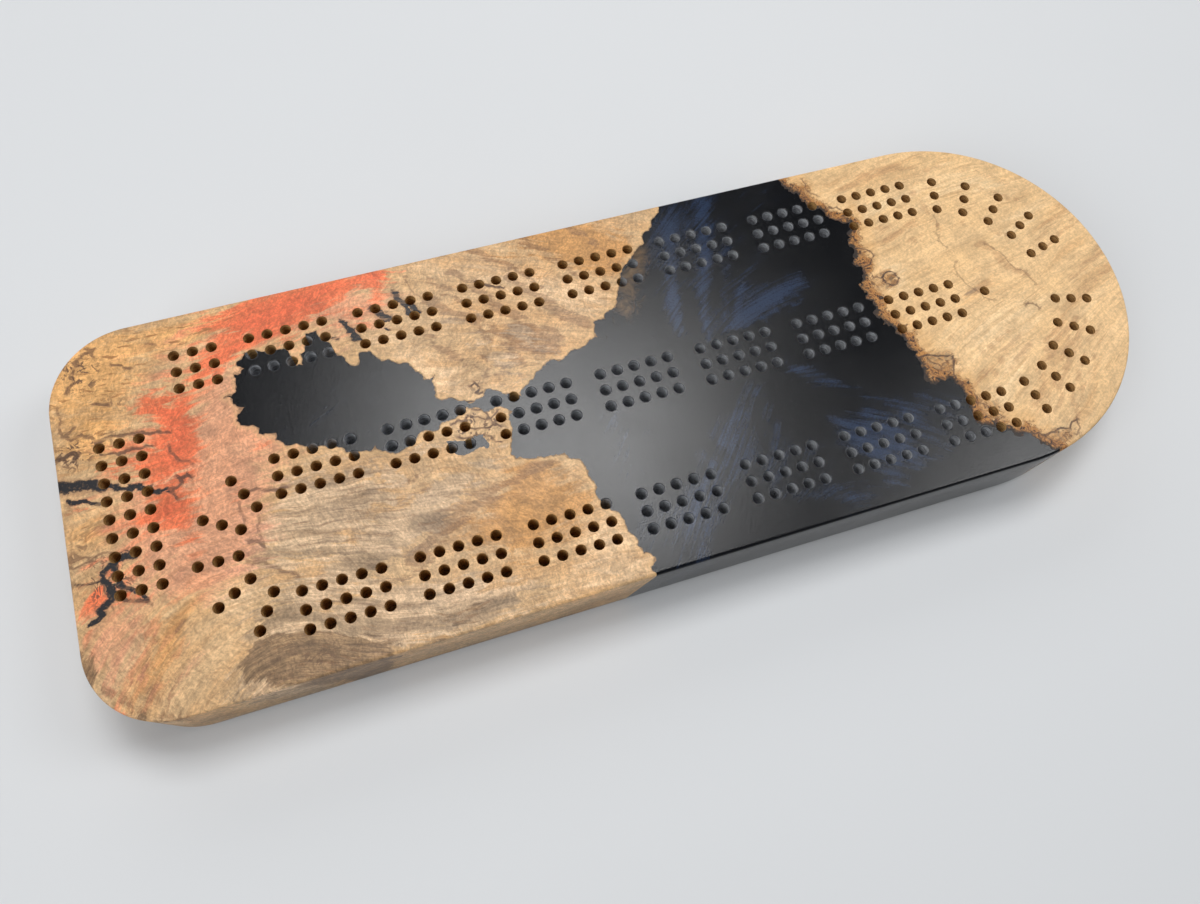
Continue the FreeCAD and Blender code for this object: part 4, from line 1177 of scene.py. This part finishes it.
@shared_group("Handling", ("Place",), ("Gloss", "Dust", "Relief"))
def handling(w, given):
    """What sanding and handling leave: faint scratches, dust and a slow change of gloss."""
    slow = w.noise(given["Place"], 0.035, 4, 0.6, 0.3)
    fine = w.noise(given["Place"], 2.6, 2, 0.6)
    specks = w.node("TexVoronoi", {"Vector": given["Place"], "Scale": 0.55}).outputs["Distance"]
    return slow, w.minus(1.0, w.ramp(specks, 0.02, 0.07)), w.times_plus(slow, 0.4, w.times(fine, 0.6))


def new_material(name):
    """A material with its Principled shader and a wiring for its tree."""
    made = bpy.data.materials.new(name)
    made.use_nodes = True
    return made, Wiring(made.node_tree), made.node_tree.nodes["Principled BSDF"]


def finished(made, colour, roughness, bump=None, **others):
    """Links sockets and sets numbers on the shader's own inputs, and gives back the material. A bump is
    its height, strength and distance."""
    material, w, shader = made
    inputs = {"Base Color": colour, "Roughness": roughness, **others}
    if bump:
        inputs["Normal"] = w.bump(*bump)
    for name, value in inputs.items():
        w.feed(value, shader.inputs[name])
    return material


def tone(red, green, blue):
    """A colour given as it looks on a screen, from 0 to 255, in the numbers that shaders use."""
    parts = [c / 255 for c in (red, green, blue)]
    return (*[c / 12.92 if c <= 0.04045 else ((c + 0.055) / 1.055) ** 2.4 for c in parts], 1.0)


def shaded(w, colour, value):
    """A colour times a number."""
    grey = w.node("CombineColor", enumerate([value] * 3)).outputs[0]
    return w.mix(1.0, colour, grey, "MULTIPLY")


def over(w, colour, mask, strength, stained):
    """A colour with another one laid over it by a share of a mask."""
    return w.mix(w.times(mask, strength), colour, stained)


def burl_wood(w, colour, grown, pick, flame):
    """The wood's colours: bands, then each stain over them, then threads, fibre, curl, mottle, a painted
    shade that darkens the sides towards the bottom, and flecks."""
    place, along, across, depth, g = grown
    below = w.minus(TOP, depth)
    fading = w.times(below, STAIN_FADE)

    def stain(name, ragged, low, high):
        amount = w.plus(w.stored(name), fading)
        return w.group(
            ragged_stain, amount=amount, along=along, across=across, depth=depth,
            ragged=ragged, low=low, high=high,
        )[0]

    cloud = w.noise(place, 0.10, 6, 0.62, 0.8)
    bands = w.ramp(w.times_plus(cloud, 0.35, w.times(g["Bands"], 0.65)), 0.40, 0.60)
    colour = over(w, colour, bands, pick(0.72, 0.5), pick(tone(203, 157, 106), tone(218, 178, 124)))
    ashen = w.shades(
        g["Bands"], (0.36, tone(122, 101, 80)), (0.47, tone(184, 156, 124)), (0.54, tone(232, 199, 161)),
        (0.66, tone(136, 113, 88)),
    )
    heat = w.shades(
        w.times_plus(g["Fibre"], 0.9, w.times(w.stored("blaze"), 0.35)),
        (0.48, tone(242, 160, 114)), (0.72, tone(238, 120, 74)), (0.95, flame),
    )
    rotten = w.shades(
        g["Fibre"], (0.38, tone(108, 82, 57)), (0.5, tone(135, 106, 75)), (0.62, tone(164, 131, 92))
    )
    for amount, ragged, low, high, strength, stained in (
        ("pale", 1.0, 0.1, 0.9, 0.85, pick(tone(248, 210, 165), tone(246, 213, 165))),
        ("straw", 0.9, 0.15, 0.8, 0.8, tone(236, 176, 106)),
        ("amber", 1.3, 0.25, 0.85, pick(0.85, 0.62), pick(tone(203, 147, 84), tone(210, 166, 114))),
        ("streak", 1.9, 0.26, 0.60, pick(0.62, 0.5), pick(tone(150, 112, 78), tone(190, 146, 102))),
        ("ash", 1.3, 0.25, 0.6, 0.75, ashen),
        ("veil", 1.0, 0.2, 0.85, 0.6, tone(236, 156, 122)),
        ("blaze", 2.0, 0.22, 0.90, 0.95, heat),
        ("brown", 0.9, 0.42, 0.62, 0.9, rotten),
    ):
        colour = over(w, colour, stain(amount, ragged, low, high), strength, stained)
    threads = w.noise(w.stretched(along, across, depth, 0.07, 2.1, 0.8), 1, 4, 0.72, 0.2)
    threads = w.times(w.ramp(threads, 0.53, 0.60), w.ramp(g["Bands"], 0.42, 0.60, 0.15, 1.0))
    threads = w.times(threads, w.ramp(w.plus(w.stored("ash"), w.stored("streak")), 0.0, 0.7, 0.3, 1.0))
    colour = over(w, colour, threads, 0.5, pick(tone(142, 110, 82), tone(184, 142, 102)))
    for value, low, high, darkest, palest in (
        (g["Fibre"], 0.38, 0.62, pick(0.84, 0.88), pick(1.08, 1.05)),
        (g["Curl"], 0.38, 0.62, pick(0.80, 0.89), pick(1.11, 1.06)),
        (w.noise(place, 1.4, 3, 0.7), 0.36, 0.64, pick(0.82, 0.90), 1.12),
        (cloud, 0.32, 0.62, pick(0.80, 0.86), 1.07),
        # painted shade: the sides darken towards the bottom, from 1.5 to 20 mm below the top
        (below, 1.5, 20.0, 1.0, 0.74),
    ):
        colour = shaded(w, colour, w.ramp(value, low, high, darkest, palest))
    speckle = w.times(g["Flecks"], w.ramp(w.stored("straw"), 0.1, 0.8, 0.22, 0.75))
    colour = w.mix(speckle, colour, tone(140, 92, 50))
    curls = w.group(curl_lines, place=place, amount=w.stored("curl"))[0]
    return over(w, colour, curls, 0.88, tone(92, 66, 50)), stain


def burl_bark(w, colour, place, ragged, shore, ridges, stain):
    """Bark along the live edge of the right burl: a warm border, crumbling bark, its skin and a charred
    line."""
    wander = w.minus(w.noise(place, 0.15, 4, 0.62, 0.4), 0.5)
    reach = w.times_plus(wander, 13.0, w.stored("shore"))
    crumble = w.noise(place, 0.34, 5, 0.72, 2.2)
    bark = w.shades(
        crumble, (0.40, tone(24, 15, 10)), (0.46, tone(120, 72, 34)), (0.54, ridges),
        (0.62, tone(74, 44, 24)),
    )
    colour = w.mix(w.ramp(reach, 2.5, 9.0, 0.45, 0.0), colour, tone(214, 160, 92))
    brink = w.times_plus(ragged, 2.4, reach)
    colour = w.mix(w.ramp(brink, 2.4, 3.8, 0.97, 0.0), colour, bark)
    skin = w.ramp(w.math("ABSOLUTE", w.minus(brink, 3.5)), 0.1, 0.5, 0.7, 0.0)
    colour = w.mix(w.times(skin, w.ramp(crumble, 0.44, 0.56)), colour, tone(88, 52, 28))
    colour = over(w, colour, stain("curl", 0.9, 0.5, 0.75), 0.5, bark)
    charred = w.times_plus(ragged, 2.0, w.times_plus(wander, -4.0, shore))
    return w.mix(w.ramp(charred, 0.1, 1.5, 0.96, 0.0), colour, tone(22, 15, 11))


def burl_cracks(w, colour, grown, fine, ragged, pick):
    """The dark lines with a stained halo. Gives back the colour and how much of a crack each place is."""
    _, along, across, depth, _ = grown
    dye = w.stored("dye")
    gaps = w.minus(w.noise(w.stretched(along, across, depth, 0.16, 0.7, 0.5), 1, 3, 0.6), 0.5)
    line = w.plus(ragged, w.times_plus(gaps, 1.2, w.stored("ink")))
    broken = w.noise(w.stretched(along, across, depth, 0.10, 1.1, 0.5), 1, 3, 0.6)
    broken = w.larger(w.ramp(broken, 0.38, 0.50, 0.45, 1.0), w.ramp(dye, 0.6, 0.95))
    line = w.times(w.ramp(line, 0.34, 0.60), broken)
    line = w.times(line, w.ramp(dye, 0.3, 0.8, 0.35, pick(1.0, 0.8)))
    colour = over(w, colour, w.times(w.ramp(w.stored("ink"), 0.02, 0.5), dye), 0.42, tone(148, 104, 72))
    crack = w.shades(dye, (0.5, pick(tone(88, 58, 42), tone(70, 42, 26))), (0.8, tone(30, 28, 31)))
    crack = w.mix(w.ramp(fine, 0.54, 0.66, 0.0, 0.6), crack, tone(112, 84, 62))
    return w.mix(line, colour, crack), line


def burl_material(name, ground, colours, golden):
    """Oiled burl maple: grain on the stored sheets, then each stain over it, then the joint and the
    dark lines."""
    def pick(left, right):
        """The number or colour for this slab: the stained left burl's, or the golden right burl's."""
        return right if golden else left

    made = _, w, _ = new_material(name)
    place, _, _, depth = w.millimetres()
    bent = w.group(swirl, place=place, along=w.stored("along"), across=w.stored("across"))
    along = w.times(bent["Along"], 0.45) if golden else bent["Along"]
    across = bent["Across"]
    g = w.group(grain, along=along, across=across, depth=depth)
    grown = place, along, across, depth, g
    colour, stain = burl_wood(w, ground, grown, pick, colours.flame)
    fine = w.noise(place, 1.1, 4, 0.66)
    ragged = w.minus(fine, 0.5)
    shore = w.times_plus(ragged, 1.3, w.stored("shore"))
    if golden:
        colour = burl_bark(w, colour, place, ragged, shore, colours.bark, stain)
    else:
        colour = w.mix(w.ramp(shore, 0.4, 2.0, 0.3, 0.0), colour, tone(226, 184, 128))
        colour = w.mix(w.ramp(shore, 0.0, 0.5, 0.75, 0.0), colour, tone(98, 72, 50))
    colour, line = burl_cracks(w, colour, grown, fine, ragged, pick)
    rough = w.ramp(w.group(handling, place=place)["Gloss"], 0.3, 0.7, 0.42, 0.56)
    relief = w.times_plus(line, -0.6, w.times(g["Relief"], 0.7))
    return finished(made, colour, rough, (relief, 0.25, 0.00025), **{SPECULAR: 0.4})


def resin_material(name, colours):
    """Satin black resin with blue pearl pigment drawn out along the pour, smoky where it took up the
    wood."""
    made = _, w, _ = new_material(name)
    place, _, _, depth = w.millimetres()
    poured = w.stretched(w.stored("along"), w.stored("across"), depth, 0.022, 0.62, 0.05)
    drawn = w.noise(poured, 1, 7, 0.74, 0.5)
    broken = w.plus(w.minus(w.noise(place, 0.07, 7, 0.66, 1.4), 0.5), w.minus(drawn, 0.5))
    amount = w.times_plus(broken, 1.3, w.times(w.stored("pearl"), 0.75))
    amount = w.times_plus(w.stored("shimmer"), 0.55, amount)
    pearl = w.times(w.ramp(amount, 0.14, 1.30), w.ramp(drawn, 0.34, 0.62, 0.25, 1.35))
    pearl = w.times(pearl, w.ramp(w.noise(place, 2.2, 4, 0.8), 0.36, 0.64, 0.3, 1.8), clamp=True)
    colour = w.mix(pearl, colours.resin, colours.shimmer)
    colour = w.mix(w.ramp(w.stored("deep"), 0.3, 1.0, 0.0, 0.8), colour, tone(5, 6, 9))
    brown = w.times_plus(w.minus(w.noise(place, 0.24, 7, 0.72, 0.8), 0.5), 2.2, w.stored("smoke"))
    colour = w.mix(w.ramp(brown, 0.45, 1.3, 0.0, 0.7), colour, tone(118, 90, 56))
    wear = w.group(handling, place=place)
    sanded = w.times_plus(w.noise(place, 1.3, 4, 0.75), 1.2, wear["Relief"])
    colour = over(w, colour, wear["Dust"], 0.16, tone(130, 134, 144))
    # pale ring round each hole: partly the worn edge, partly a painted highlight on the rim
    colour = over(w, colour, w.stored("rim"), 0.25, tone(120, 124, 130))
    rough = w.ramp(wear["Gloss"], 0.3, 0.7, 0.17, 0.23)
    return finished(made, colour, rough, (sanded, 0.28, 0.0001), **{SPECULAR: 0.34})


def drilled_material(name, light, dark, roughness):
    """The inside of a drilled hole: rings left by the drill."""
    made = _, w, _ = new_material(name)
    _, x, y, depth = w.millimetres()
    rings = w.noise(w.stretched(x, y, depth, 0.5, 0.5, 2.2), 1, 4, 0.7)
    colour = w.mix(w.ramp(rings, 0.4, 0.6), light, dark)
    return finished(made, colour, roughness, (rings, 0.5, 0.0003))


def plain_wood(name, light, dark, axis="X", roughness=0.5):
    """Straight grained wood whose fibres run along one axis of the board."""
    made = _, w, _ = new_material(name)
    _, x, y, z = w.millimetres()
    along, across, depth = {"X": (x, y, z), "Y": (y, x, z)}[axis]
    g = w.group(grain, along=along, across=across, depth=depth)
    value = w.times_plus(g["Bands"], 0.8, w.times(g["Fibre"], 0.35))
    colour = w.mix(w.ramp(value, 0.42, 0.72), light, dark)
    colour = over(w, colour, g["Flecks"], 0.35, dark)
    rough = w.ramp(g["Fibre"], 0.3, 0.7, roughness - 0.06, roughness + 0.08)
    return finished(made, colour, rough, (g["Relief"], 0.3, 0.0002))


def layered_board(name):
    """Thin birch board: pale faces, and alternate plies that show as stripes on its edges."""
    made = _, w, _ = new_material(name)
    _, x, y, z = w.millimetres()
    g = w.group(grain, along=x, across=y, depth=z)
    colour = w.mix(w.ramp(g["Bands"], 0.35, 0.7), tone(222, 198, 158), tone(204, 172, 126))
    ply = w.math("PINGPONG", z, PLY)
    colour = w.mix(w.ramp(ply, 0.16, 0.28, 0.0, 0.25), colour, tone(150, 112, 70))
    return finished(made, colour, 0.6, (g["Relief"], 0.2, 0.00015))


def metal_material(name, colour, roughness):
    """Turned or ground metal: fine marks round it and a slow change of gloss."""
    made = _, w, _ = new_material(name)
    place, x, y, z = w.millimetres()
    marks = w.noise(w.stretched(x, y, z, 0.4, 6.0, 0.4), 1, 2, 0.6)
    shade = w.mix(w.ramp(marks, 0.3, 0.7, 0.0, 0.25), colour, tuple(0.6 * c for c in colour[:3]) + (1,))
    gloss = w.group(handling, place=place)["Gloss"]
    rough = w.ramp(gloss, 0.3, 0.7, roughness - 0.05, roughness + 0.08)
    return finished(made, shade, rough, (marks, 0.12, 0.0001), Metallic=1.0)


def rubber_material(name):
    """Soft clear-grey bumper rubber with a faint bloom."""
    made = _, w, _ = new_material(name)
    cloud = w.noise(w.millimetres()[0], 0.8, 4, 0.6)
    colour = w.mix(w.ramp(cloud, 0.35, 0.65), tone(46, 46, 48), tone(68, 68, 70))
    return finished(made, colour, 0.7, (cloud, 0.2, 0.0001))


def floor_material(colour):
    """Matt pale table with the faintest mottle. Far from the board, where the lamps don't reach, what
    the camera and reflections see stays as pale as the table."""
    made = _, w, shader = new_material("table_top")
    place = w.millimetres()[0]
    mottle = w.noise(place, 0.004, 3, 0.5)
    paler = tuple(min(1.0, c * 1.04) for c in colour[:3]) + (1,)
    path = w.node("LightPath").outputs
    seen = w.larger(path["Is Glossy Ray"], path["Is Transmission Ray"])
    seen = w.larger(seen, path["Is Camera Ray"])
    away = w.node("VectorMath", {0: place}, operation="LENGTH").outputs["Value"]
    glow = w.node("Emission", {"Color": paler, "Strength": 1.0}).outputs[0]
    both = {0: w.times(seen, w.ramp(away, *LAMP_REACH)), 1: shader.outputs[0], 2: glow}
    surface = w.node("MixShader", both).outputs[0]
    w.tree.links.new(surface, w.tree.nodes["Material Output"].inputs["Surface"])
    return finished(made, w.mix(mottle, colour, paler), 0.9, **{SPECULAR: 0.2})


# ---- smaller pieces ------------------------------------------------------------------------------
def meshed(name, places, faces):
    """A new mesh from places in millimetres and faces of any number of corners."""
    mesh = bpy.data.meshes.new(name)
    write_mesh(mesh, places, np.concatenate(faces), np.array([len(face) for face in faces]))
    return mesh


def add_piece(name, places, faces, material, body, slot, node):
    """Makes a piece from (n, 3) places and its faces, and ties it to its body and CAD node."""
    mesh = meshed(name, places, faces)
    mesh.set_sharp_from_angle(angle=SHARP_ANGLE)
    return tie(shown(name, mesh), (material,), body, slot, node)


def tie(piece, materials, body, slot, *nodes):
    """Gives a piece its materials and the body it moves with, and hides the CAD nodes it stands for.
    Its slot is not used.
    """
    for material in materials:
        piece.data.materials.append(material)
    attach(piece, body)
    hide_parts(*nodes)
    return piece


def spun(ring, sides):
    """Rings about +Z from (r, h) pairs, as (n, 3), with their numbers: x = r cos t, y = r sin t, z = h."""
    turn = np.linspace(0, 2 * math.pi, sides, endpoint=False)
    places = np.stack(np.broadcast_arrays(
        ring[:, :1] * np.cos(turn), ring[:, :1] * np.sin(turn), ring[:, 1:] + 0 * turn
    ), -1).reshape(-1, 3)
    return places, np.arange(len(places)).reshape(-1, sides)


def revolved(profile, sides):
    """A turning about +Z over (r, h) pairs, closed by a point at each end."""
    profile = np.asarray(profile, float)
    ring, ids = spun(profile[1:-1], sides)
    places = np.concatenate([ring, [(0, 0, profile[0, 1]), (0, 0, profile[-1, 1])]])
    after = np.roll(ids, -1, 1)
    walls = np.stack([ids[:-1], after[:-1], after[1:], ids[1:]], -1).reshape(-1, 4)
    low, high = len(places) - 2, len(places) - 1
    bottom = np.stack([after[0], ids[0], np.full(sides, low)], -1)
    top = np.stack([ids[-1], after[-1], np.full(sides, high)], -1)
    return places, [*walls, *bottom, *top]


def set_node_material(material, *names):
    """Gives carried over CAD nodes a material."""
    for name in names:
        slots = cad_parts[name].data.materials
        slots.clear()
        slots.append(material)


# Radius and height of a turned peg from its tip to its knob, with rounded shoulders.
PEG_SHAPE = (
    (0, 0), (0.55, 0), (1.0, 0.18), (1.28, 0.55), (1.35, 1.0), (1.35, 9.0), (1.25, 9.5), (1.1, 10.0),
    (1.22, 10.5), (1.5, 13), (1.86, 18), (1.95, 20.5), (1.86, 22), (1.5, 23.1), (1.1, 24.0),
    (1.35, 24.35), (2.05, 24.9), (2.4, 25.8), (2.5, 26.7), (2.4, 27.6), (2.0, 28.4), (1.3, 28.88),
    (0.6, 29.0), (0, 29.0),
)


def peg_profile(low, high):
    """The peg's shape, its heights stretched to run from low to high."""
    length = high - low
    return [(r, low + h * length / PEG_SHAPE[-1][1]) for r, h in PEG_SHAPE]


# ---- operators -----------------------------------------------------------------------------------
class BuildSlabs(Operator):
    """Build the two burl slabs, the resin between them and the resin pocket"""

    bl_idname = "cribbage.build_slabs"
    bl_label = "Burl and Resin Slabs"

    def execute(self, context):
        sizes, colours = context.scene.board_sizes, context.scene.finish_colours
        plan = BoardPlan(sizes)
        bored_wood = drilled_material("drilled_burl", tone(206, 164, 104), tone(146, 108, 62), 0.8)
        bored_resin = drilled_material("drilled_resin", tone(196, 198, 202), tone(128, 130, 134), 0.5)
        left = burl_material("left_burl", colours.maple, colours, False)
        right = burl_material("right_burl", colours.gold, colours, True)
        resin = resin_material("black_resin", colours)
        for node, name, material, bored, slot, joint in (
            ("burl_left", "square_end_burl", left, bored_wood, "burl_left", "left"),
            ("burl_right", "round_end_burl", right, bored_wood, "burl_right", "bark"),
            ("resin", "poured_resin", resin, bored_resin, "resin", None),
            ("resin_pocket", "pocket_resin", resin, bored_resin, "resin", None),
        ):
            piece, xy = build_slab(plan, node, name)
            if joint:
                dress_wood(piece.data, xy, node, nearest(xy, plan.joints[joint].reshape(-1, 2)))
            else:
                dress_resin(piece.data, xy, plan)
            tie(piece, (material, bored), "case", slot, node)
        return {"FINISHED"}


class BuildCover(Operator):
    """Dress the cover under the drawer's bay, the stop pin and the magnet in the case"""

    bl_idname = "cribbage.build_cover"
    bl_label = "Bay Cover and Fittings"

    def execute(self, context):
        set_node_material(plain_wood("cover_maple", tone(214, 180, 132), tone(188, 146, 96)), "bay_cover")
        set_node_material(metal_material("pin_brass", tone(214, 172, 92), 0.3), "stop_pin")
        nickel = metal_material("magnet_nickel", tone(190, 190, 192), 0.28)
        for node, body, recess in (("bay_magnet", "case", -0.04), ("drawer_magnet", "drawer", 0.04)):
            low, high = span(node)
            radius = (high[1] - low[1]) / 2
            bevel = 0.25
            outline = [(0, 0), (radius - bevel, 0), (radius, bevel)]
            depth = high[0] - low[0]
            profile = outline + [(r, depth - h) for r, h in outline[::-1]]
            places, faces = revolved(profile, sides=32)
            seat = np.array([low[0] + recess, *(low + high)[1:] / 2])
            places = places[:, [2, 0, 1]] + seat
            add_piece(f"{body}_magnet_disc", places, faces, nickel, body, "magnet", node)
        return {"FINISHED"}


class BuildFeet(Operator):
    """Build the four domed bumper feet"""

    bl_idname = "cribbage.build_feet"
    bl_label = "Rubber Feet"

    def execute(self, context):
        rubber = rubber_material("foot_rubber")
        feet = sorted(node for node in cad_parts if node.startswith("foot_"))
        if not feet:
            raise RuntimeError("the packed parts have no feet")
        for node in feet:
            low, high = span(node)
            middle = (low + high) / 2
            r = (high[0] - low[0]) / 2
            profile = [
                (0, low[2]), (0.66 * r, low[2]), (0.80 * r, 0.08), (0.91 * r, 0.35),
                (0.97 * r, 0.75), (r, 1.2), (r, high[2]), (0, high[2]),
            ]
            places, faces = revolved(profile, sides=40)
            places[:, :2] += middle[:2]
            add_piece(node.replace("foot", "bumper"), places, faces, rubber, "case", "foot_rubber", node)
        return {"FINISHED"}


FRONT_SHY = (0.01, 0, 0.02)  # how far the drawer's front stays back at the end and up off the cover


class BuildDrawer(Operator):
    """Build the drawer's front with its finger groove, and dress the rest of the drawer"""

    bl_idname = "cribbage.build_drawer"
    bl_label = "Drawer"

    def execute(self, context):
        colours = context.scene.finish_colours
        places, faces = self.front()
        face = burl_material("front_burl", colours.maple, colours, False)
        piece = add_piece("drawer_face", places, faces, face, "drawer", "drawer_wood", "drawer_front")
        dress_wood(piece.data, places[:, :2], "burl_left", np.full(len(places), SHORE_REACH))
        pale, dark = tone(224, 192, 144), tone(200, 160, 108)
        set_node_material(plain_wood("drawer_maple", pale, dark), "drawer_side_far", "drawer_side_near")
        set_node_material(plain_wood("back_maple", pale, dark, "Y"), "drawer_back")
        set_node_material(layered_board("drawer_birch"), "drawer_bottom")
        return {"FINISHED"}

    @staticmethod
    def front():
        """The front's box, its outer face a grid over (y, z): x is the end, plus the groove's depth
        sqrt(r^2 - (z - middle)^2) - (r - depth) faded out at its ends, plus a small round at each edge."""
        low, high = DRAWER_LOW + FRONT_SHY, DRAWER_HIGH
        border = np.array([0, 0.1, 0.3, 0.6])
        y, z = np.meshgrid(*(
            np.concatenate([
                low[axis] + border, np.linspace(low[axis] + flat, high[axis] - flat, count),
                high[axis] - border[::-1],
            ])
            for axis, flat, count in ((1, 1.5, 64), (2, 1.1, 25))
        ))
        middle, radius, deep, half, taper = (low[2] + high[2]) / 2, 2.4, 1.9, 15.0, 2.4
        bowl = np.sqrt(np.clip(radius ** 2 - (z - middle) ** 2, 0, None)) - (radius - deep)
        fade = np.sqrt(np.clip(1 - np.clip((np.abs(y) - half + taper) / taper, 0, 1) ** 2, 0, 1))
        groove = np.clip(np.minimum(bowl, bowl * fade), 0, None)
        inset = np.minimum(np.minimum(y - low[1], high[1] - y), np.minimum(z - low[2], high[2] - z))
        x = low[0] + groove + edge_drop(inset, border[-1])
        outer = np.stack([x, y, z], -1).reshape(-1, 3)
        rows, columns = x.shape
        ids = np.arange(rows * columns).reshape(rows, columns)
        quads = np.stack([ids[:-1, :-1], ids[1:, :-1], ids[1:, 1:], ids[:-1, 1:]], -1).reshape(-1, 4)
        rim = np.concatenate([ids[0, :-1], ids[:-1, -1], ids[-1, :0:-1], ids[:0:-1, 0]])
        back = outer[rim].copy()
        back[:, 0] = high[0]
        start = len(outer)
        behind = start + np.arange(len(rim))
        walls = np.stack([rim, np.roll(rim, -1), np.roll(behind, -1), behind], -1)
        return np.concatenate([outer, back]), [*quads, *walls, behind]


class BuildPegs(Operator):
    """Build the nine turned pegs and dress their rack"""

    bl_idname = "cribbage.build_pegs"
    bl_label = "Pegs and Rack"

    def execute(self, context):
        walnut = plain_wood("rack_walnut", tone(112, 76, 48), tone(68, 44, 28), roughness=0.55)
        set_node_material(walnut, "peg_rack")
        finishes = {
            "brass": metal_material("peg_brass", tone(222, 180, 98), 0.24),
            "steel": metal_material("peg_steel", tone(196, 198, 202), 0.26),
            "blue": metal_material("peg_blue", tone(38, 74, 150), 0.32),
        }
        pegs = [(player, k) for player in finishes for k in range(1, 4)]
        for number, (player, k) in enumerate(pegs):
            node = f"peg_{player}_{k}"
            low, high = span(node)
            middle = (low + high) / 2
            places, faces = revolved(peg_profile(low[1] - middle[1], high[1] - middle[1]), sides=24)
            side = 1 if number % 2 else -1
            laid = middle + np.column_stack([side * places[:, 0], side * places[:, 2], -places[:, 1]])
            add_piece(f"turned_{node}", laid, faces, finishes[player], "drawer", f"peg_{player}", node)
        return {"FINISHED"}


# The camera: its lens and place in millimetres, and the turn that its axes come from, as an axis times an
# angle.
LENS = 26.833
CAMERA_PLACE = (-62.3, -95.6, 265.9)
CAMERA_SPIN = (-3.42791645, 0.508771503, -0.223666628)
# Each lamp's name, place and size in metres, and watts.
LAMPS = (
    ("key", (0.08, 0.31, 1.0), (0.46, 0.36), 5.6),
    ("fill", (-0.95, -0.45, 0.85), (0.9, 0.9), 8.0),
    ("side", (0.84, 0.02, 0.98), (0.30, 0.5), 3.5),
    ("back", (-0.2, 1.3, 0.9), (1.4, 0.6), 4.0),
)


class BuildStage(Operator):
    """Set up the table, the lamps and the camera"""

    bl_idname = "cribbage.build_stage"
    bl_label = "Table, Light and Camera"

    def execute(self, context):
        self.table(context.scene.finish_colours.floor)
        self.lamps()
        self.camera(context.scene)
        context.scene.view_settings.view_transform = "Standard"
        return {"FINISHED"}

    @staticmethod
    def table(colour):
        """A round table top whose rim sweeps up as a backdrop: flat to 1.6 m, then a quarter circle."""
        turn = np.radians(np.linspace(0, 80, 16))
        sweep = zip(1600 + 900 * np.sin(turn), 900 - 900 * np.cos(turn))
        places, ids = spun(np.array([(400, 0), (900, 0), *sweep], float), sides=96)
        places = np.concatenate([places, [(0, 0, 0)]])
        after = np.roll(ids, -1, 1)
        walls = np.stack([ids[:-1], ids[1:], after[1:], after[:-1]], -1).reshape(-1, 4)
        disc = np.stack([ids[0], after[0], np.full(len(after[0]), len(places) - 1)], -1)
        mesh = meshed("table", places, [*walls, *disc])
        mesh.materials.append(floor_material(colour))
        shown("table", mesh)

    @staticmethod
    def lamps():
        """A softbox over the far side, broad ones to the left, the right and behind, and a dim even room."""
        for name, place, size, energy in LAMPS:
            data = bpy.data.lights.new(name, "AREA")
            data.shape = "RECTANGLE"
            data.size, data.size_y = size
            data.energy = energy
            lamp = shown(name, data)
            lamp.location = place
            lamp.rotation_euler = (-lamp.location).to_track_quat("-Z", "Y").to_euler()
        world = bpy.data.worlds.new("room")
        world.use_nodes = True
        bpy.context.scene.world = world
        background = world.node_tree.nodes["Background"]
        background.inputs["Color"].default_value = (0.92, 0.96, 1.0, 1)
        background.inputs["Strength"].default_value = 0.13

    @staticmethod
    def camera(scene):
        """A wide camera above the near side, turned as its three axes say: right, up and back."""
        data = bpy.data.cameras.new("camera")
        data.sensor_width = 36.0
        data.sensor_fit = "HORIZONTAL"
        data.lens = LENS
        data.clip_start = 0.01
        spin = Vector(CAMERA_SPIN)
        turn = Matrix.Rotation(spin.length, 3, spin.normalized())
        axes = Matrix((turn[0], -turn[1], -turn[2])).transposed()
        scene.camera = shown("camera", data)
        scene.camera.matrix_world = Matrix.Translation(Vector(CAMERA_PLACE) * MM) @ axes.to_4x4()


class CribbagePanel(Panel):
    """Sizes, colours and build steps of the cribbage board."""

    bl_idname = "VIEW3D_PT_cribbage"
    bl_label = "Cribbage Board"
    bl_space_type = "VIEW_3D"
    bl_region_type = "UI"
    bl_category = "Cribbage"

    def draw(self, context):
        layout = self.layout
        scene = context.scene
        for title, group in (("Sizes", scene.board_sizes), ("Colours", scene.finish_colours)):
            box = layout.box()
            box.label(text=title)
            for name in group.bl_rna.properties.keys():
                if name not in ("rna_type", "name"):
                    box.prop(group, name)
        for step in STEPS:
            layout.operator(step.bl_idname)


STEPS = (BuildSlabs, BuildCover, BuildFeet, BuildDrawer, BuildPegs, BuildStage)
CLASSES = (BoardSizes, FinishColours, *STEPS, CribbagePanel)


def register():
    for cls in CLASSES:
        bpy.utils.register_class(cls)
    bpy.types.Scene.board_sizes = PointerProperty(type=BoardSizes)
    bpy.types.Scene.finish_colours = PointerProperty(type=FinishColours)


def unregister():
    del bpy.types.Scene.finish_colours
    del bpy.types.Scene.board_sizes
    for cls in reversed(CLASSES):
        bpy.utils.unregister_class(cls)


def main():
    register()
    for step in STEPS:
        group, name = step.bl_idname.split(".")
        getattr(getattr(bpy.ops, group), name)()


if __name__ == "__main__":
    main()
